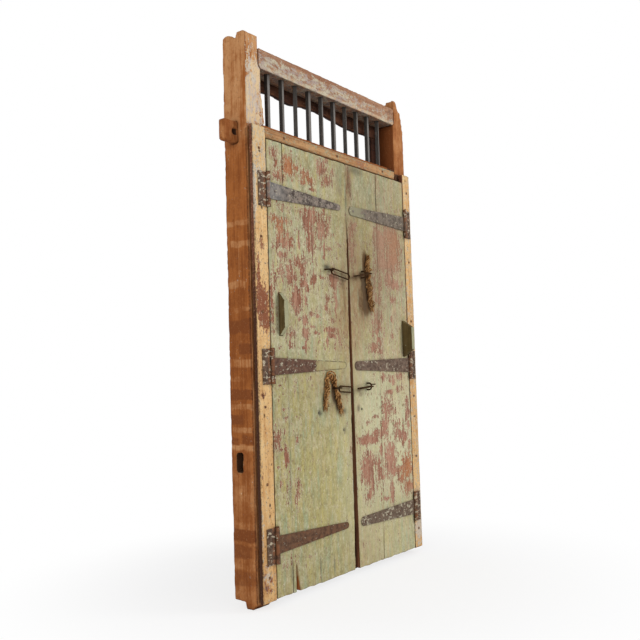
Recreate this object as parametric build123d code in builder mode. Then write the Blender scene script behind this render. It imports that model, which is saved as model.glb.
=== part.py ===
from build123d import *
import math
import os

os.makedirs("parts", exist_ok=True)

# A pair of plank leaves in a heavy frame with a barred opening above them.
# X runs across the doorway from its middle, -Y is the front, Z = 0 is the floor under the left foot.
# The front faces of the posts lie in the plane Y = 0.

# Clearances
overrun = 5.0
joint_clear = 0.2
leaf_clear = 0.5
leaf_gap = 3.0
pin_clear = 0.05
knuckle_play = 1.0
rest_clear = 0.6
rope_clear = 0.3

# Posts
frame_width = 1240.0
post_width = 100.0
post_depth = 125.0
shoulder_depth = 14.0
horn_height = 53.0
horn_notch = 32.0
foot_drop = 28.0
horn_depth_shares = (0, 0.1, 0.38, 0.42, 0.48, 0.77, 0.96, 1)
horn_notch_shares = (0.2, 0, 0, 1, 0.5, 0.06, 0.28, 0.62)
foot_depth_shares = (1, 0.55, 0.5, 0.22, 0)
left_foot_shares = (1.07, 0.93, 0, 0, 0.86)
right_foot_shares = (1, 1, 1, 1, 1)
worn_corner_width = 62.0
worn_corner_height = 160.0
worn_width_shares = (1, 0.66, 0.34, 0)
worn_height_shares = (1, 0.69, 0.66, 0)
swell_width = 18.0
swell_height = 135.0
side_mortise_width = 33.0
side_mortise_height = 76.0
side_mortise_back = 27.0
side_mortise_rise = 503.0

# Top rail and the boards behind it
rail_height = 86.0
rail_depth = 95.0
rail_tenon_length = 50.0
rail_tenon_thick = 32.0
rail_tenon_height = 50.0
lintel_height = 145.0
lintel_drop = 63.0
lintel_hew = 28.0
lintel_hew_shares = (0.38, 0.6, 0.81, 0.35, 0.82, 1, 0.66, 0.21, 0.03, 0.22, 0)
rear_jamb_width = 60.0

# Transom with through tenons
transom_height = 88.0
transom_depth = 110.0
transom_rise = 20.0
tenon_thick = 35.0
tenon_inset = 50.0
tenon_reach = 79.0
tenon_chamfer = 8.0
wedge_hole_width = 26.0
wedge_hole_height = 21.0

# Grille bars
grille_height = 236.0
bar_side = 17.5
bar_left_gap = 72.25
bar_right_gap = 108.25
bar_inset = 30.0
bar_seat = 20.0
bar_turns_deg = (4, 12, 42, 2, 20, 8, 30, 14, 6, 24)

# Casing boards
casing_height = 1900.0
casing_thick = 28.0
left_casing_width = 84.0
right_casing_width = 70.5
head_height = 42.0
head_short = 69.5
head_break = 10.0
head_break_shares = (0, 0.7, 0, 1, 0.4)
casing_groove_depth = 12.0
casing_groove_width = 14.0

# Leaves
meet_shift = 34.0
meet_gap_top = 3.0
meet_gap_foot = 35.0
plank_gap = 2.0
narrow_plank = 101.0
outer_plank_top = 252.5
outer_plank_foot = 289.5
split_height = 112.0
split_width = 22.0
split_inset = 137.0
check_height = 45.0
check_width = 4.0
check_inset = 388.0
ledge_height = 118.0
ledge_thick = 24.0
ledge_chamfer = 8.0
ledge_end_gap = 28.0
ledge_rise = 212.0
ledge_drop = 215.0
middle_ledge_share = 0.324

# Batten behind the right leaf's meeting edge
strip_width = 13.0
strip_thick = 9.0
strip_top_gap = 10.0

# Wooden blocks by the hinge edges
block_width = 26.0
block_height = 186.0
block_slope_height = 39.0
left_block_reach = 34.0
left_block_inset = 51.0
left_block_gap = 85.0
right_block_reach = 56.0
right_block_inset = 29.0
right_block_gap = 3.0

# Strap hinges
knuckle_radius = 9.0
pin_radius = 5.0
pin_head_radius = 7.5
pin_head_height = 4.0
knuckle_stand = 0.6
plate_height = 142.0
plate_reach = 55.0
plate_thick = 4.0
strap_root = 72.0
left_strap_tip = 28.0
right_strap_tip = 40.0
left_tip_gaps = (51.0, 32.0, 52.0)
right_tip_gaps = (20.5, 16.5, 13.5)
left_hinge_rise = 212.0
left_hinge_drop = 215.0
right_hinge_rise = 208.0
right_hinge_drop = 217.0
middle_hinge_share = 0.496
broken_length = 300.0
broken_bite = 14.0
broken_bite_shares = (0, 0.8, 0.1, 1, 0.3)
strap_nail_shares = (0.09, 0.3, 0.52, 0.74, 0.94)
plate_nail_height_shares = (-0.36, 0, 0.36)
plate_nail_reach_share = 0.68

# Forged nails
nail_side = 11.0
nail_height = 3.5
nail_taper_deg = 40
casing_nail_shares = (0.05, 0.24, 0.4, 0.6, 0.76, 0.95)
head_nail_shares = (0.12, 0.5, 0.88)
ledge_nail_shares = (0.08, 0.3, 0.55, 0.91)
ledge_nail_height_share = 0.36

# Chain links, their staples and the spikes on the right ones
rod_radius = 3.5
rod_sides = 8
staple_bend = 11.0
staple_half = 22.0
loop_half = 15.0
crown_stand = 24.0
link_stand = 13.0
broad_link_half = 12.5
flat_link_half = 10.0
link_offset = 9.0
link_tip_gap = 4.0
upper_left_staple_x = -130.0
upper_right_staple_x = 140.0
upper_chain_drop = 295.0
upper_left_tilt_deg = 8
upper_right_tilt_deg = 9
lower_left_staple_x = -98.0
lower_right_staple_x = 155.0
lower_chain_drop = 100.0
lower_left_tilt_deg = 4
lower_right_tilt_deg = 4
spike_radius = 3.0
spike_rise = 9.0
spike_reach = 62.0
short_spike_reach = 42.0
spike_stand = 18.5
spike_bend = 8.0

# Rope ends left by the staples, as points across and up from the middle of the staple
rope_diameter = 14.0
upper_rope_route = [(49, 93), (42, 25), (50, -53), (54, -105), (69, -156)]
lower_rope_route = [(-89, -83), (-78, -6), (-60, 55), (-32, 56), (-8, 0), (3, -48), (31, -105)]

# Places worked out from the sizes above
half_width = frame_width / 2
half_door = half_width - post_width
half_rail = half_door + shoulder_depth
casing_top = foot_drop + casing_height
transom_top = casing_top + transom_rise
rail_bottom = transom_top + grille_height
rail_top = rail_bottom + rail_height
frame_height = rail_top + horn_height
leaf_top = casing_top - head_height - leaf_gap
leaf_height = leaf_top - foot_drop
leaf_thick = casing_thick - leaf_clear
left_casing_edge = -half_width + left_casing_width
right_casing_edge = half_width - right_casing_width
left_axis_x = left_casing_edge + leaf_gap / 2
right_axis_x = right_casing_edge - leaf_gap / 2
left_leaf_edge = left_casing_edge + leaf_gap
right_leaf_edge = right_casing_edge - leaf_gap
axis_stand = casing_thick + knuckle_stand + knuckle_radius
strap_face = casing_thick + plate_thick
bars = len(bar_turns_deg)
bar_pitch = (2 * half_door - bar_left_gap - bar_right_gap) / (bars - 1)
first_bar_x = -half_door + bar_left_gap
front_plane = Plane.XZ.offset(casing_thick)
post_plane = Plane.XZ
sides = {"left": -1, "right": 1}


def save(piece, name):
    piece.part.label = name
    export_step(piece.part, f"parts/{name}.step")


def left_meet(height):
    """X of the left leaf's meeting edge at a height above the leaf's foot."""
    return meet_shift - (meet_gap_foot + (meet_gap_top - meet_gap_foot) * height / leaf_height) / 2


def right_meet(height):
    """X of the right leaf's meeting edge at a height above the leaf's foot."""
    return meet_shift + (meet_gap_foot + (meet_gap_top - meet_gap_foot) * height / leaf_height) / 2


def spread_rises(lowest, drop, middle_share):
    """Heights above the leaf's foot of a low, a middle and a high piece, the high one set by its drop."""
    highest = leaf_height - drop
    return (lowest, lowest + (highest - lowest) * middle_share, highest)


hinge_rises = {
    "left": spread_rises(left_hinge_rise, left_hinge_drop, middle_hinge_share),
    "right": spread_rises(right_hinge_rise, right_hinge_drop, middle_hinge_share),
}

# Posts
for side_name, side in sides.items():
    feet = left_foot_shares if side < 0 else right_foot_shares
    horn_points = [
        (post_depth * d, frame_height - horn_notch * n) for d, n in zip(horn_depth_shares, horn_notch_shares)
    ]
    foot_points = [(post_depth * d, foot_drop * f) for d, f in zip(foot_depth_shares, feet)]
    with BuildPart() as post:
        with BuildSketch(Plane.YZ.offset(side * half_width)):
            with BuildLine():
                Polyline(*horn_points, *foot_points, close=True)
            make_face()
        extrude(amount=-side * post_width)
        # the inner edge is cut back beside and above the top rail
        with BuildSketch(post_plane):
            with BuildLine():
                Polyline(
                    (side * half_door, rail_bottom),
                    (side * half_rail, rail_bottom + shoulder_depth),
                    (side * half_rail, frame_height + overrun),
                    (side * (half_door - overrun), frame_height + overrun),
                    (side * (half_door - overrun), rail_bottom),
                    close=True,
                )
            make_face()
        extrude(amount=-(post_depth + overrun), mode=Mode.SUBTRACT)
        # blind mortise for the top rail, through mortise for the transom
        with Locations((side * half_rail, rail_depth / 2, (rail_top + rail_bottom) / 2)):
            Box(
                2 * (rail_tenon_length + joint_clear),
                rail_tenon_thick + 2 * joint_clear,
                rail_tenon_height + 2 * joint_clear,
                mode=Mode.SUBTRACT,
            )
        with Locations((side * (half_width + half_door) / 2, tenon_inset + tenon_thick / 2, transom_top)):
            Box(
                post_width + 2 * overrun,
                tenon_thick + 2 * joint_clear,
                transom_height + 2 * joint_clear,
                align=(Align.CENTER, Align.CENTER, Align.MAX),
                mode=Mode.SUBTRACT,
            )
        if side < 0:
            # inner face that swells toward the transom
            with BuildSketch(post_plane):
                with BuildLine():
                    Polyline(
                        (-half_door, transom_top + joint_clear),
                        (-half_door + swell_width, transom_top + joint_clear),
                        (-half_door, transom_top + swell_height),
                        close=True,
                    )
                make_face()
            extrude(amount=-post_depth)
            # empty mortise in the outer face
            with Locations((-half_width, post_depth - side_mortise_back, foot_drop + side_mortise_rise)):
                Box(
                    2 * post_width + overrun,
                    side_mortise_width,
                    side_mortise_height,
                    align=(Align.CENTER, Align.MAX, Align.MIN),
                    mode=Mode.SUBTRACT,
                )
        else:
            # outer corner worn away at the top
            with BuildSketch(post_plane):
                with BuildLine():
                    Polyline(
                        (half_width + overrun, frame_height + overrun),
                        *[
                            (half_width - worn_corner_width * w, frame_height - worn_corner_height * (1 - h))
                            for w, h in zip(worn_width_shares, worn_height_shares)
                        ],
                        (half_width + overrun, frame_height - worn_corner_height),
                        close=True,
                    )
                make_face()
            extrude(amount=-(post_depth + overrun), mode=Mode.SUBTRACT)
    save(post, f"{side_name}_post")

# Top rail with blind tenons and sockets for the bars
bar_places = [(first_bar_x + i * bar_pitch, bar_turns_deg[i]) for i in range(bars)]
with BuildPart() as top_rail:
    with BuildSketch(post_plane):
        with BuildLine():
            Polyline(
                (-half_rail, rail_top),
                (half_rail, rail_top),
                (half_rail, rail_bottom + shoulder_depth),
                (half_door, rail_bottom),
                (-half_door, rail_bottom),
                (-half_rail, rail_bottom + shoulder_depth),
                close=True,
            )
        make_face()
    extrude(amount=-rail_depth)
    with Locations((0, rail_depth / 2, (rail_top + rail_bottom) / 2)):
        Box(2 * (half_rail + rail_tenon_length), rail_tenon_thick, rail_tenon_height)
    with BuildSketch(Plane.XY.offset(rail_bottom)):
        for x, turn in bar_places:
            with Locations((x, bar_inset)):
                Rectangle(bar_side + 2 * joint_clear, bar_side + 2 * joint_clear, rotation=turn)
    extrude(amount=bar_seat + joint_clear, mode=Mode.SUBTRACT)
save(top_rail, "top_rail")

# Rough board behind the rail with a hewn lower edge
lintel_half = half_door - joint_clear
lintel_bottom = rail_bottom - lintel_drop
hew_steps = len(lintel_hew_shares) - 1
with BuildPart() as rear_lintel:
    with BuildSketch(Plane.XZ.offset(-rail_depth)):
        with BuildLine():
            hewn_points = [
                (lintel_half * (2 * i / hew_steps - 1), lintel_bottom + lintel_hew * share)
                for i, share in enumerate(lintel_hew_shares)
            ]
            Polyline(
                (-lintel_half, lintel_bottom + lintel_height),
                *hewn_points,
                (lintel_half, lintel_bottom + lintel_height),
                close=True,
            )
        make_face()
    extrude(amount=-(post_depth - rail_depth))
save(rear_lintel, "rear_lintel")

# Rough upright under the right end of that board, standing on the transom
jamb_top = lintel_bottom - joint_clear
corner_share = rear_jamb_width / (2 * lintel_half / hew_steps)
corner_rise = lintel_hew * lintel_hew_shares[-1]
corner_rise += lintel_hew * (lintel_hew_shares[-2] - lintel_hew_shares[-1]) * corner_share
with BuildPart() as rear_jamb:
    with BuildSketch(Plane.XZ.offset(-rail_depth)):
        with BuildLine():
            Polyline(
                (lintel_half, transom_top),
                (lintel_half - rear_jamb_width, transom_top),
                (lintel_half - rear_jamb_width, jamb_top + corner_rise),
                (lintel_half, jamb_top + lintel_hew * lintel_hew_shares[-1]),
                close=True,
            )
        make_face()
    extrude(amount=-(post_depth - rail_depth))
save(rear_jamb, "rear_jamb")

# Transom with tenons that stick out past both posts
with BuildPart() as transom_rail:
    with Locations((0, 0, transom_top)):
        Box(2 * half_door, transom_depth, transom_height, align=(Align.CENTER, Align.MIN, Align.MAX))
    with Locations((0, tenon_inset, transom_top)):
        Box(
            2 * (half_width + tenon_reach),
            tenon_thick,
            transom_height,
            align=(Align.CENTER, Align.MIN, Align.MAX),
        )
    ends = transom_rail.faces().filter_by(Axis.X)
    tip_edges = ends.sort_by(Axis.X)[0].edges() + ends.sort_by(Axis.X)[-1].edges()
    chamfer(tip_edges, length=tenon_chamfer)
    for side in sides.values():
        hole_x = side * (half_width + wedge_hole_width / 2)
        with Locations((hole_x, tenon_inset + tenon_thick / 2, transom_top - transom_height / 2)):
            Box(wedge_hole_width, tenon_thick + 2 * overrun, wedge_hole_height, mode=Mode.SUBTRACT)
    with BuildSketch(Plane.XY.offset(transom_top)):
        for x, turn in bar_places:
            with Locations((x, bar_inset)):
                Rectangle(bar_side + 2 * joint_clear, bar_side + 2 * joint_clear, rotation=turn)
    extrude(amount=-(bar_seat + joint_clear), mode=Mode.SUBTRACT)
save(transom_rail, "transom_rail")

# Square grille bars, each turned in its sockets
for number, (x, turn) in enumerate(bar_places, start=1):
    with BuildPart() as bar:
        with BuildSketch(Plane.XY.offset(transom_top - bar_seat)):
            with Locations((x, bar_inset)):
                Rectangle(bar_side, bar_side, rotation=turn)
        extrude(amount=rail_bottom - transom_top + 2 * bar_seat)
    save(bar, f"bar_{number}")

# Casing boards on the front of the frame
for side_name, side in sides.items():
    board_width = left_casing_width if side < 0 else right_casing_width
    with BuildPart() as casing:
        with Locations((side * (half_width - board_width / 2), 0, foot_drop)):
            Box(board_width, casing_thick, casing_height, align=(Align.CENTER, Align.MAX, Align.MIN))
        with Locations((side * half_width, 0, foot_drop + casing_height / 2)):
            Box(
                2 * casing_groove_width,
                2 * casing_groove_depth,
                casing_height + 2 * overrun,
                mode=Mode.SUBTRACT,
            )
    save(casing, f"{side_name}_casing")

head_start = left_casing_edge + joint_clear
head_end = right_casing_edge - head_short
break_steps = len(head_break_shares) - 1
with BuildPart() as head_casing:
    with BuildSketch(front_plane):
        with BuildLine():
            broken_points = [
                (head_end - head_break * share, casing_top - head_height * i / break_steps)
                for i, share in enumerate(head_break_shares)
            ]
            Polyline(
                (head_start, casing_top),
                *broken_points,
                (head_start, casing_top - head_height),
                close=True,
            )
        make_face()
    extrude(amount=-casing_thick)
save(head_casing, "head_casing")

casing_nail_places = [
    (x, foot_drop + casing_height * share)
    for x in (left_casing_edge - left_casing_width / 2, right_casing_edge + right_casing_width / 2)
    for share in casing_nail_shares
]
head_nail_places = [
    (head_start + (head_end - head_start) * share, casing_top - head_height / 2) for share in head_nail_shares
]
with BuildPart() as casing_nails:
    with BuildSketch(front_plane):
        with Locations(*casing_nail_places, *head_nail_places):
            Rectangle(nail_side, nail_side)
    extrude(amount=nail_height, taper=nail_taper_deg)
save(casing_nails, "casing_nails")

# Left leaf planks
left_joint_x = left_leaf_edge + narrow_plank
with BuildPart() as left_plank_narrow:
    with BuildSketch(front_plane):
        with BuildLine():
            Polyline(
                (left_leaf_edge, foot_drop),
                (left_joint_x, foot_drop),
                (left_joint_x, leaf_top),
                (left_leaf_edge, leaf_top),
                close=True,
            )
        make_face()
    extrude(amount=-leaf_thick)
save(left_plank_narrow, "left_plank_narrow")

split_x = left_leaf_edge + split_inset
check_x = left_leaf_edge + check_inset
with BuildPart() as left_plank_wide:
    with BuildSketch(front_plane):
        with BuildLine():
            Polyline(
                (left_joint_x + plank_gap, foot_drop),
                (split_x - split_width / 2, foot_drop),
                (split_x - split_width / 2, foot_drop + split_height),
                (split_x + split_width / 2, foot_drop),
                (check_x - check_width / 2, foot_drop),
                (check_x, foot_drop + check_height),
                (check_x + check_width / 2, foot_drop),
                (left_meet(0), foot_drop),
                (left_meet(leaf_height), leaf_top),
                (left_joint_x + plank_gap, leaf_top),
                close=True,
            )
        make_face()
    extrude(amount=-leaf_thick)
save(left_plank_wide, "left_plank_wide")

# Right leaf planks, with a joint that leans
outer_foot_x = right_leaf_edge - outer_plank_foot
outer_top_x = right_leaf_edge - outer_plank_top
with BuildPart() as right_plank_inner:
    with BuildSketch(front_plane):
        with BuildLine():
            Polyline(
                (right_meet(0), foot_drop),
                (outer_foot_x - plank_gap, foot_drop),
                (outer_top_x - plank_gap, leaf_top),
                (right_meet(leaf_height), leaf_top),
                close=True,
            )
        make_face()
    extrude(amount=-leaf_thick)
save(right_plank_inner, "right_plank_inner")

with BuildPart() as right_plank_outer:
    with BuildSketch(front_plane):
        with BuildLine():
            Polyline(
                (outer_foot_x, foot_drop),
                (right_leaf_edge, foot_drop),
                (right_leaf_edge, leaf_top),
                (outer_top_x, leaf_top),
                close=True,
            )
        make_face()
    extrude(amount=-leaf_thick)
save(right_plank_outer, "right_plank_outer")

# Ledges across the backs of the leaves
ledge_spans = {
    "left": (-half_door + ledge_end_gap / 2, left_meet(0) - ledge_end_gap / 2),
    "right": (right_meet(0) + ledge_end_gap / 2, half_door - ledge_end_gap / 2),
}
ledge_names = ("bottom", "middle", "top")
ledge_rises = spread_rises(ledge_rise, ledge_drop, middle_ledge_share)
for side_name, (start_x, end_x) in ledge_spans.items():
    for ledge_name, rise in zip(ledge_names, ledge_rises):
        with BuildPart() as ledge:
            with Locations(((start_x + end_x) / 2, -leaf_clear, foot_drop + rise)):
                Box(end_x - start_x, ledge_thick, ledge_height, align=(Align.CENTER, Align.MIN, Align.CENTER))
            chamfer(ledge.faces().sort_by(Axis.Y)[-1].edges(), length=ledge_chamfer)
        save(ledge, f"{side_name}_ledge_{ledge_name}")

# Batten that thickens the right leaf's meeting edge, under the transom
strip_top = transom_top - transom_height - strip_top_gap
strip_top_x = right_meet(strip_top - foot_drop)
with BuildPart() as meeting_strip:
    with BuildSketch(Plane.XZ.offset(leaf_clear)):
        with BuildLine():
            Polyline(
                (right_meet(0), foot_drop),
                (right_meet(0) + strip_width, foot_drop),
                (strip_top_x + strip_width, strip_top),
                (strip_top_x, strip_top),
                close=True,
            )
        make_face()
    extrude(amount=-strip_thick)
save(meeting_strip, "right_meeting_strip")

# Wooden blocks
blocks = {
    "left": (left_leaf_edge + left_block_inset, left_block_reach, left_block_gap),
    "right": (right_leaf_edge - right_block_inset - block_width, right_block_reach, right_block_gap),
}
for side_name, (start_x, reach, gap) in blocks.items():
    block_foot = foot_drop + hinge_rises[side_name][1] + strap_root / 2 + gap
    with BuildPart() as block:
        with BuildSketch(Plane.YZ.offset(start_x)):
            with BuildLine():
                Polyline(
                    (-casing_thick, block_foot),
                    (-casing_thick - reach, block_foot + block_slope_height),
                    (-casing_thick - reach, block_foot + block_height - block_slope_height),
                    (-casing_thick, block_foot + block_height),
                    close=True,
                )
            make_face()
        extrude(amount=block_width)
    save(block, f"{side_name}_block")

# Strap hinges: plates on the casing, straps on the leaves, loose pins
axes = {"left": left_axis_x, "right": right_axis_x}
strap_tips = {"left": left_strap_tip, "right": right_strap_tip}
left_reaches = [left_meet(rise) - left_axis_x for rise in hinge_rises["left"]]
right_reaches = [right_axis_x - right_meet(rise) for rise in hinge_rises["right"]]
strap_lengths = {
    "left": [reach - gap for reach, gap in zip(left_reaches, left_tip_gaps)],
    "right": [reach - gap for reach, gap in zip(right_reaches, right_tip_gaps)],
}
plate_knuckle = (plate_height - strap_root) / 2 - knuckle_play

for side_name, side in sides.items():
    axis_x = axes[side_name]
    strap_tip = strap_tips[side_name]
    taper_slope = (strap_root - strap_tip) / 2
    for hinge_name, rise, length in zip(ledge_names, hinge_rises[side_name], strap_lengths[side_name]):
        middle = foot_drop + rise
        plate_edge = axis_x + side * plate_reach
        with BuildPart() as plate:
            with BuildSketch(front_plane):
                with Locations(((axis_x + plate_edge) / 2, middle)):
                    Rectangle(plate_reach, plate_height)
                with Locations((axis_x, middle)):
                    Rectangle(
                        2 * (axis_stand - casing_thick + rest_clear),
                        strap_root + 2 * knuckle_play,
                        mode=Mode.SUBTRACT,
                    )
            extrude(amount=plate_thick)
            for knuckle_foot in (middle - plate_height / 2, middle + plate_height / 2 - plate_knuckle):
                with BuildSketch(Plane.XY.offset(knuckle_foot)):
                    with Locations((axis_x, -axis_stand)):
                        Circle(knuckle_radius)
                extrude(amount=plate_knuckle)
            with BuildSketch(Plane.XY.offset(middle)):
                with Locations((axis_x, -axis_stand)):
                    Circle(pin_radius + pin_clear)
            extrude(amount=plate_height, both=True, mode=Mode.SUBTRACT)
        save(plate, f"{side_name}_plate_{hinge_name}")

        tip_x = axis_x - side * length
        arc_x = tip_x + side * strap_tip / 2
        broken = side < 0 and hinge_name == "middle"
        broken_half = strap_root / 2 - taper_slope * broken_length / length
        with BuildPart() as strap:
            with BuildSketch(front_plane):
                with BuildLine():
                    if broken:
                        steps = len(broken_bite_shares) - 1
                        torn_points = [
                            (
                                axis_x - side * (broken_length - broken_bite * share),
                                middle + broken_half * (1 - 2 * i / steps),
                            )
                            for i, share in enumerate(broken_bite_shares)
                        ]
                        Polyline(
                            (axis_x, middle - strap_root / 2),
                            (axis_x, middle + strap_root / 2),
                            *torn_points,
                            close=True,
                        )
                    else:
                        Polyline(
                            (arc_x, middle - strap_tip / 2),
                            (axis_x, middle - strap_root / 2),
                            (axis_x, middle + strap_root / 2),
                            (arc_x, middle + strap_tip / 2),
                        )
                        ThreePointArc(
                            (arc_x, middle + strap_tip / 2),
                            (tip_x, middle),
                            (arc_x, middle - strap_tip / 2),
                        )
                make_face()
            extrude(amount=plate_thick)
            with BuildSketch(Plane.XY.offset(middle - strap_root / 2)):
                with Locations((axis_x, -axis_stand)):
                    Circle(knuckle_radius)
            extrude(amount=strap_root)
            with BuildSketch(Plane.XY.offset(middle)):
                with Locations((axis_x, -axis_stand)):
                    Circle(pin_radius + pin_clear)
            extrude(amount=plate_height, both=True, mode=Mode.SUBTRACT)
        save(strap, f"{side_name}_strap_{hinge_name}")

    with BuildPart() as pins:
        for rise in hinge_rises[side_name]:
            with BuildSketch(Plane.XY.offset(foot_drop + rise - plate_height / 2)):
                with Locations((axis_x, -axis_stand)):
                    Circle(pin_radius)
            extrude(amount=plate_height)
            with BuildSketch(Plane.XY.offset(foot_drop + rise + plate_height / 2)):
                with Locations((axis_x, -axis_stand)):
                    Circle(pin_head_radius)
            extrude(amount=pin_head_height)
    save(pins, f"{side_name}_pins")

# Nails in the plates, the straps and the ledges
plate_nail_places = [
    (axes[name] + side * plate_reach * plate_nail_reach_share, foot_drop + rise + plate_height * share)
    for name, side in sides.items()
    for rise in hinge_rises[name]
    for share in plate_nail_height_shares
]
with BuildPart() as plate_nails:
    with BuildSketch(Plane.XZ.offset(strap_face)):
        with Locations(*plate_nail_places):
            Rectangle(nail_side, nail_side)
    extrude(amount=nail_height, taper=nail_taper_deg)
save(plate_nails, "plate_nails")

for side_name, side in sides.items():
    strap_nail_places = [
        (axes[side_name] - side * length * share, foot_drop + rise)
        for hinge_name, rise, length in zip(ledge_names, hinge_rises[side_name], strap_lengths[side_name])
        for share in strap_nail_shares
        if side > 0 or hinge_name != "middle" or length * share < broken_length - 2 * broken_bite
    ]
    hinge_end, free_end = sorted(ledge_spans[side_name], key=lambda x: -x * side)
    nail_spread = ledge_height * ledge_nail_height_share
    ledge_nail_places = [
        (hinge_end + (free_end - hinge_end) * share, foot_drop + ledge_rises[1] + up * nail_spread)
        for share in ledge_nail_shares
        for up in sides.values()
    ]
    with BuildPart() as leaf_nails:
        with BuildSketch(Plane.XZ.offset(strap_face)):
            with Locations(*strap_nail_places):
                Rectangle(nail_side, nail_side)
        extrude(amount=nail_height, taper=nail_taper_deg)
        with BuildSketch(front_plane):
            with Locations(*ledge_nail_places):
                Rectangle(nail_side, nail_side)
        extrude(amount=nail_height, taper=nail_taper_deg)
    save(leaf_nails, f"{side_name}_nails")

# Staples: the left ones bridge sideways, the right ones upright with a spike clenched to the right
crown_y = -casing_thick - crown_stand
link_y = -casing_thick - link_stand
spike_y = -casing_thick - spike_stand
chain_heights = {
    "upper": foot_drop + hinge_rises["left"][2] - upper_chain_drop,
    "lower": foot_drop + hinge_rises["left"][1] - lower_chain_drop,
}
left_staples = {"upper": upper_left_staple_x, "lower": lower_left_staple_x}
right_staples = {"upper": upper_right_staple_x, "lower": lower_right_staple_x}

for level, height in chain_heights.items():
    x = left_staples[level]
    with BuildPart() as left_staple:
        with BuildLine() as bridge:
            FilletPolyline(
                (x - staple_half, -casing_thick, height),
                (x - staple_half, crown_y, height),
                (x + staple_half, crown_y, height),
                (x + staple_half, -casing_thick, height),
                radius=staple_bend,
            )
        with BuildSketch(Plane(origin=bridge.line @ 0, z_dir=bridge.line % 0)):
            RegularPolygon(rod_radius, rod_sides)
        sweep()
    save(left_staple, f"{level}_left_staple")

    x = right_staples[level]
    with BuildPart() as right_staple:
        with BuildLine() as loop:
            FilletPolyline(
                (x, -casing_thick, height - loop_half),
                (x, crown_y, height - loop_half),
                (x, crown_y, height + loop_half),
                (x, -casing_thick, height + loop_half),
                radius=staple_bend,
            )
        with BuildSketch(Plane(origin=loop.line @ 0, z_dir=loop.line % 0)):
            RegularPolygon(rod_radius, rod_sides)
        sweep()
        with BuildLine() as spike:
            if level == "upper":
                FilletPolyline(
                    (x, spike_y, height + spike_rise),
                    (x + spike_reach, spike_y, height + spike_rise),
                    (x + spike_reach, -casing_thick, height + spike_rise),
                    radius=spike_bend,
                )
            else:
                Line((x, spike_y, height + spike_rise), (x + short_spike_reach, spike_y, height + spike_rise))
        with BuildSketch(Plane(origin=spike.line @ 0, z_dir=spike.line % 0)):
            RegularPolygon(spike_radius, rod_sides)
        sweep()
    save(right_staple, f"{level}_right_staple")


def link_ring(plane, length, half):
    """A long link of round rod in the plane, from its near end at the plane's origin."""
    with BuildPart() as ring:
        with BuildLine(plane) as path:
            Line((half, half), (length - half, half))
            ThreePointArc((length - half, half), (length, 0), (length - half, -half))
            Line((length - half, -half), (half, -half))
            ThreePointArc((half, -half), (0, 0), (half, half))
        with BuildSketch(Plane(origin=path.line @ 0, z_dir=path.line % 0)):
            RegularPolygon(rod_radius, rod_sides)
        sweep()
    return ring


# Links: each hangs on its own leaf's staple and reaches to the gap between the leaves
left_tilts = {"upper": upper_left_tilt_deg, "lower": lower_left_tilt_deg}
right_tilts = {"upper": upper_right_tilt_deg, "lower": lower_right_tilt_deg}
for level, height in chain_heights.items():
    tilt = math.radians(left_tilts[level])
    pivot_x = left_staples[level] + link_offset
    leg_offset = staple_half - link_offset
    sag = (broad_link_half - 2 * rod_radius - rest_clear - leg_offset * math.sin(tilt)) / math.cos(tilt)
    reach = left_meet(height - foot_drop) - link_tip_gap - rod_radius - pivot_x
    broad_plane = Plane(
        origin=(pivot_x, link_y, height - sag),
        x_dir=(math.cos(tilt), 0, -math.sin(tilt)),
        z_dir=(0, -1, 0),
    )
    save(link_ring(broad_plane, reach, broad_link_half), f"{level}_left_link")

    tilt = math.radians(right_tilts[level])
    end_x = right_staples[level] + 2 * rod_radius + rest_clear
    reach = end_x - right_meet(height - foot_drop) - link_tip_gap - rod_radius
    flat_plane = Plane(
        origin=(end_x, crown_y, height),
        x_dir=(-math.cos(tilt), 0, -math.sin(tilt)),
        z_dir=(-math.sin(tilt), 0, math.cos(tilt)),
    )
    save(link_ring(flat_plane, reach, flat_link_half), f"{level}_right_link")

# Rope ends lying against the leaves
rope_y = -casing_thick - rope_clear - rope_diameter / 2
bend_run_share = 0.45


def bend_radii(points):
    """Radius of the bend at each inner point of a route, from its runs and its turn."""
    radii = []
    for before, here, after in zip(points, points[1:], points[2:]):
        run_in = Vector(*here) - Vector(*before)
        run_out = Vector(*after) - Vector(*here)
        half_turn = math.radians(run_in.get_angle(run_out)) / 2
        radii.append(bend_run_share * min(run_in.length, run_out.length) / math.tan(half_turn))
    return radii


ropes = {
    "upper_rope": (upper_rope_route, upper_right_staple_x, chain_heights["upper"]),
    "lower_rope": (lower_rope_route, lower_left_staple_x, chain_heights["lower"]),
}
for rope_name, (route, staple_x, height) in ropes.items():
    route_points = [(staple_x + across, rope_y, height + up) for across, up in route]
    radii = bend_radii(route_points)
    print(rope_name, "bend radii", [round(radius, 1) for radius in radii])
    with BuildPart() as rope:
        with BuildLine() as rope_path:
            FilletPolyline(*route_points, radius=radii)
        with BuildSketch(Plane(origin=rope_path.line @ 0, z_dir=rope_path.line % 0)):
            Circle(rope_diameter / 2)
        sweep()
    print(rope_name, "length", round(rope_path.wire().length, 1))
    save(rope, rope_name)
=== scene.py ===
import itertools
import math
import random
from types import SimpleNamespace

import bpy
import numpy as np
from mathutils import Matrix, Vector


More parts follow.
